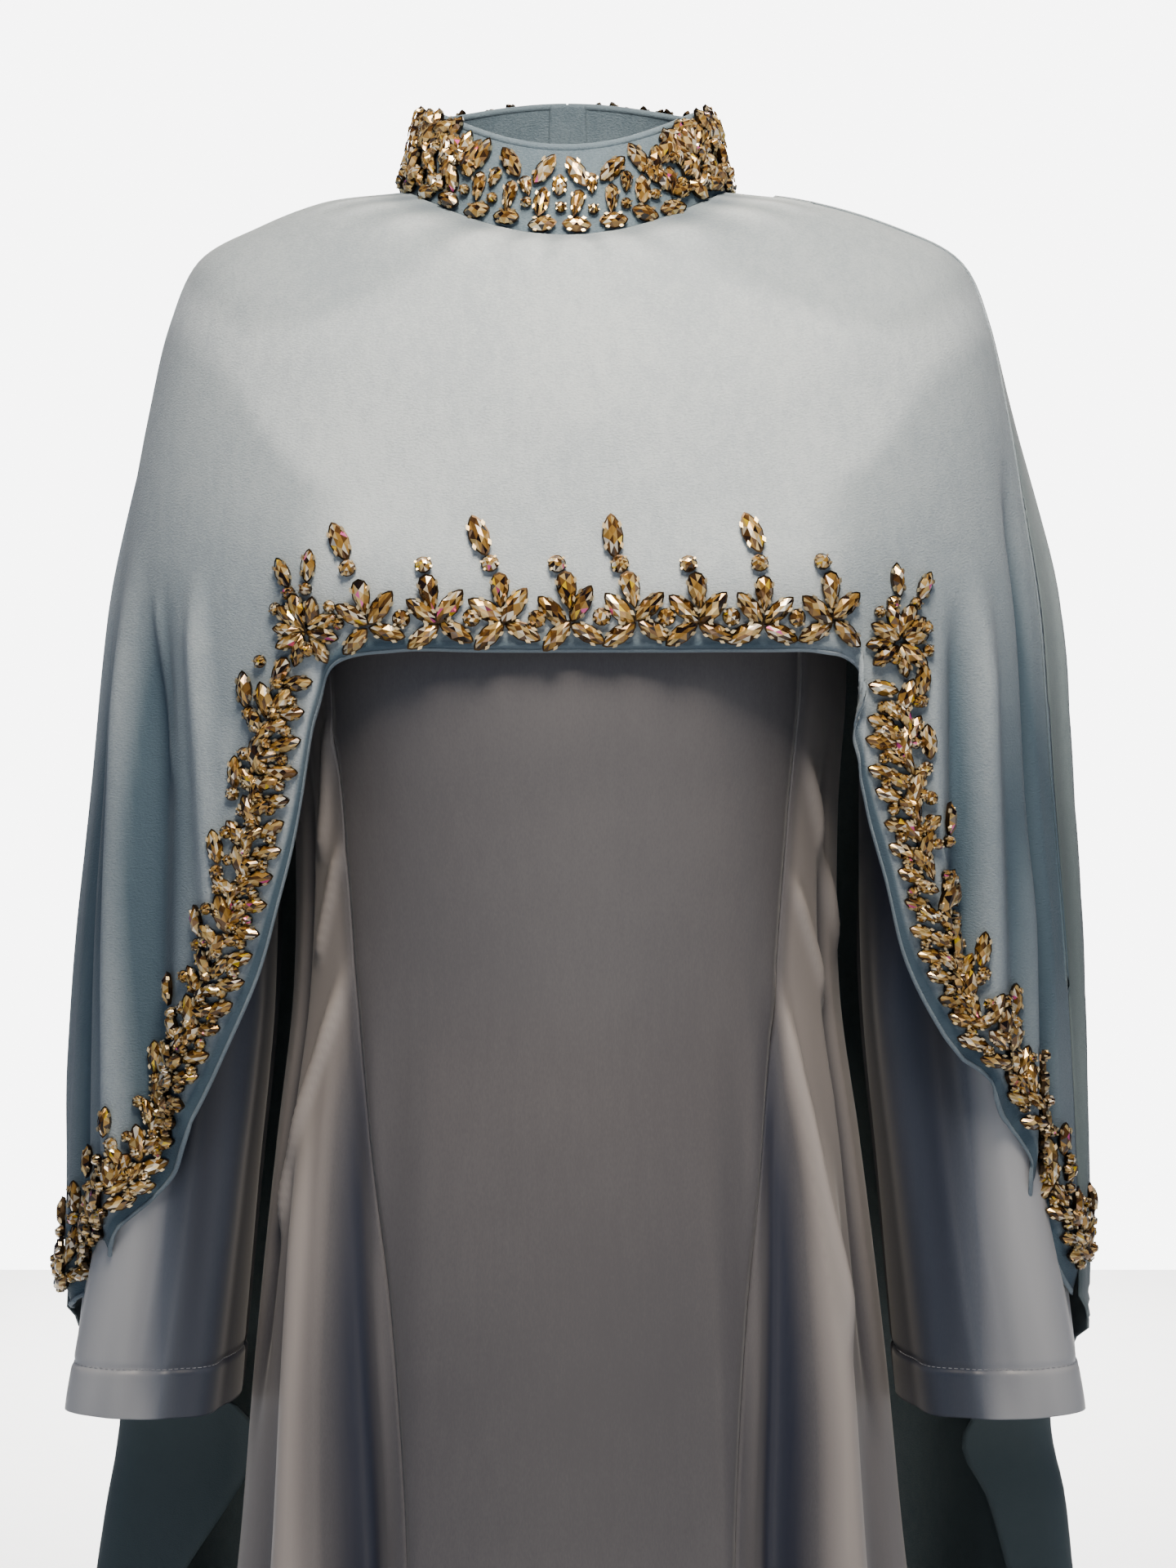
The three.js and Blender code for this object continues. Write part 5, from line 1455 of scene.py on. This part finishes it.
CORNER_STEP = (-21, 19)         # from the first and the last hub of the front to the sprays' hubs
CORNER_RISE = np.array([21.0, 23.0])
corner_lengths = lengths[front_hubs[[0, -1]]] + CORNER_STEP
corner_places, corner_up = hem_frame(corner_lengths, CORNER_RISE)
upright = unit(corner_up * 0.35 + np.array([0, 0, 1.0]))
corner_stones = np.vstack([motif_stones(hub, CORNER_MOTIF, 0, False, []) for hub in range(2)])
CORNER = 30                     # from the first and the last hub of the front to the flanks
hem_hubs, hem_stones = joined(
    ((hub_angle, hub_along, hub_up), front_stones),
    ((*corner_places, upright), corner_stones),
    flank_stones(HEM_END, lengths[front_hubs[0]] - CORNER, 1),
    flank_stones(lengths[front_hubs[-1]] + CORNER, HEM_LENGTH - HEM_END, -1),
)
stone_border("hem", cape_point, hem_hubs, hem_stones, "hem_crystals")

# %% [markdown]
# ## The border of the collar
# The collar is sewn in rows: ovals lying along its foot, upright leaves and pears over them with tiny
# rounds between, and pairs of leaves that lean together on top. Round the sides the stones are piled
# on each other, and at the front the upper edge stays bare.

# %% The rows of the collar
COLLAR_PITCH = 16.6
COLLAR_STONES_END = 168
COLLAR_ROWS = table("shift above turn long wide cut from_angle", [
    [0, -17.5, 88, 13.5, 8.0, MARQUISE, 0],
    [0, -6.5, 4, 15.0, 7.6, PEAR, 0],
    [0.5, -9.5, 0, 5.2, 5.2, ROUND, 0],
    [0.5, 2.0, 12, 10.5, 7.0, PEAR, 0],
    [0, 10.5, 32, 17.0, 8.2, MARQUISE, 0],
    [0.5, 9.0, -28, 16.0, 7.6, MARQUISE, 34],
    [0.25, 16.5, 62, 14.0, 7.0, MARQUISE, 42],
    [0.75, 3.0, -40, 14.0, 7.0, MARQUISE, 38],
    [0.5, -13.5, 40, 9.0, 6.5, PEAR, 40],
    [0.25, 12.0, -24, 14.5, 7.0, MARQUISE, 36],
    [0.75, -3.0, 28, 13.0, 6.8, MARQUISE, 36],
    [0.25, -12.5, -50, 12.5, 6.4, MARQUISE, 42],
    [0.75, 17.5, 20, 11.5, 6.2, MARQUISE, 40],
    [0.25, 4.5, 70, 5.4, 5.4, ROUND, 30],
])

turns = np.linspace(-COLLAR_STONES_END, COLLAR_STONES_END, 800)
walked = np.append(0, np.cumsum(np.linalg.norm(np.diff(collar_point(turns, 23.0), axis=0), axis=1)))
columns = np.arange(0, walked[-1], COLLAR_PITCH)
collar_stones, stone_angles = [], []
for row in zip(*COLLAR_ROWS.values()):
    shift, above, turn, long, wide, cut, from_angle = row
    angle = np.interp(columns + shift * COLLAR_PITCH, walked, turns)
    kept = np.flatnonzero(np.abs(angle) >= from_angle)
    side_pile = smooth(np.abs(angle[kept]), 30, 55)
    flip = np.where(kept % 2 == 0, 1.0, -1.0) if turn else np.ones(len(kept))
    count = len(kept)
    own_turn = np.radians(turn * flip + chance.normal(0, 7, count) + side_pile * chance.normal(0, 16, count))
    stone_angles.append(angle[kept])
    collar_stones.append(np.column_stack([
        np.zeros(count), chance.normal(0, 0.6, count),
        above + chance.normal(0, 0.8, count) + side_pile * 1.5,
        own_turn, np.full(count, long), np.full(count, wide),
        np.where((cut == PEAR) & (kept % 3 == 0), MARQUISE, cut),
        0.3 + side_pile * chance.random(count) * 2.4,
    ]))
stone_angles, collar_stones = np.concatenate(stone_angles), np.vstack(collar_stones)
collar_stones[:, 0] = np.arange(len(collar_stones))
middle = np.full(len(stone_angles), COLLAR_HEIGHT / 2)
collar_up = -unit(frame_at(collar_point, stone_angles, middle)[1])
stone_border("collar", collar_point, (stone_angles, middle, collar_up), collar_stones, "collar_crystals")

# %% [markdown]
# ## Camera, light and floor
# The camera stands 1.6 m in front of the chest and looks straight ahead, as a customer would in a
# shop. Small warm lamps above it light the shoulders and the stones, and two weak ones reach the skirt.
# One strong lamp stands behind, for the back. Two large pale lamps light the floor alone. The room
# could be a ring of white walls, but a plain world is simpler: it is seen white and lights the gown as
# a dim blue, which gives the cloth its cool shadows.

# %% The camera
CAMERA_PLACE = (6, -1600, -293)
VIEW_HEIGHT = 806.7             # the height of what is seen at the depth of the neck
SENSOR = 36
FLOOR_DROP, FLOOR_HALF = 1480, 6.0

camera = bpy.data.objects.new("camera", bpy.data.cameras.new("camera"))
bpy.context.scene.collection.objects.link(camera)
camera.location = [value * MM for value in CAMERA_PLACE]
camera.rotation_euler = (np.pi / 2, 0, 0)
camera.data.sensor_fit = "VERTICAL"
camera.data.sensor_height = SENSOR
camera.data.lens = SENSOR * -CAMERA_PLACE[1] / VIEW_HEIGHT
bpy.context.scene.camera = camera
print("camera: lens", round(camera.data.lens, 1), "mm")

# %% The lamps

def lamp(name, place, target, size, power, colour, spread=180):
    """A square soft lamp at a place, in metres, turned towards a target. spread is its beam's angle."""
    light = bpy.data.lights.new(name, "AREA")
    light.size, light.energy, light.color, light.spread = size, power, colour, np.radians(spread)
    piece = bpy.data.objects.new(name, light)
    bpy.context.scene.collection.objects.link(piece)
    piece.location = place
    piece.visible_camera = False
    piece.rotation_euler = (Vector(target) - Vector(place)).to_track_quat("-Z", "Y").to_euler()
    return piece


WARM, PALE = (1.0, 0.86, 0.70), (1.0, 0.98, 0.96)
LAMPS = [
    ("front lamp", (0.06, -0.75, 0.55), (0.02, -0.1, -0.08), 0.4, 2.6, WARM, 65),
    ("ceiling lamp", (0, -0.62, 1.25), (0, -0.05, 0), 0.5, 13.5, WARM),
    ("low lamp", (0.05, -2.2, -0.75), (0, 0, -0.75), 0.8, 1.8, WARM),
    ("side lamp", (1.3, -1.4, -0.6), (0, 0, -0.8), 0.4, 1.5, WARM),
    ("back lamp", (0.4, 2.2, 1.5), (0, 0, -0.5), 1.4, 60, WARM),
    ("floor lamp", (0, 5.0, 1.0), (0, 4.9, -1.4), 4.0, 800, PALE),
    ("near floor lamp", (0, -4.6, 0.9), (0, -4.5, -1.4), 4.0, 100, PALE, 100),
]
for settings in LAMPS:
    lamp(*settings)
print(len(LAMPS), "lamps")

# %% The room and the floor
ROOM_LIGHT, ROOM_SEEN = 0.12, 7.0
# The room is seen as a white wall, but lights the gown as a dim blue one.
room = Finish("pale room", bpy.data.worlds)
bpy.context.scene.world = room.material
lit = room.node("ShaderNodeBackground", {}, [(0.20, 0.48, 1.0, 1.0), ROOM_LIGHT])
seen = room.node("ShaderNodeBackground", {}, [(1.0, 1.0, 1.0, 1.0), ROOM_SEEN])
room.node("ShaderNodeOutputWorld", {}, {
    "Surface": room.node("ShaderNodeMixShader", {}, [room.node("ShaderNodeLightPath"), lit, seen]),
})

paving = Finish("pale floor")
specks = paving.noise(0.05, detail=4.0)
MATERIALS["floor"] = paving.done(Base_Color=paving.mix(specks, (0.84, 0.84, 0.83, 1), (0.88, 0.88, 0.87, 1)),
                                 Roughness=0.6)
floor_mesh = bpy.data.meshes.new("floor")
corners = [(x * FLOOR_HALF, y * FLOOR_HALF, -FLOOR_DROP * MM)
           for x, y in ((-1, -1), (1, -1), (1, 1), (-1, 1))]
floor_mesh.from_pydata(corners, [], [(0, 1, 2, 3)])
floor_mesh.materials.append(MATERIALS["floor"])
floor = bpy.data.objects.new("floor", floor_mesh)
bpy.context.scene.collection.objects.link(floor)
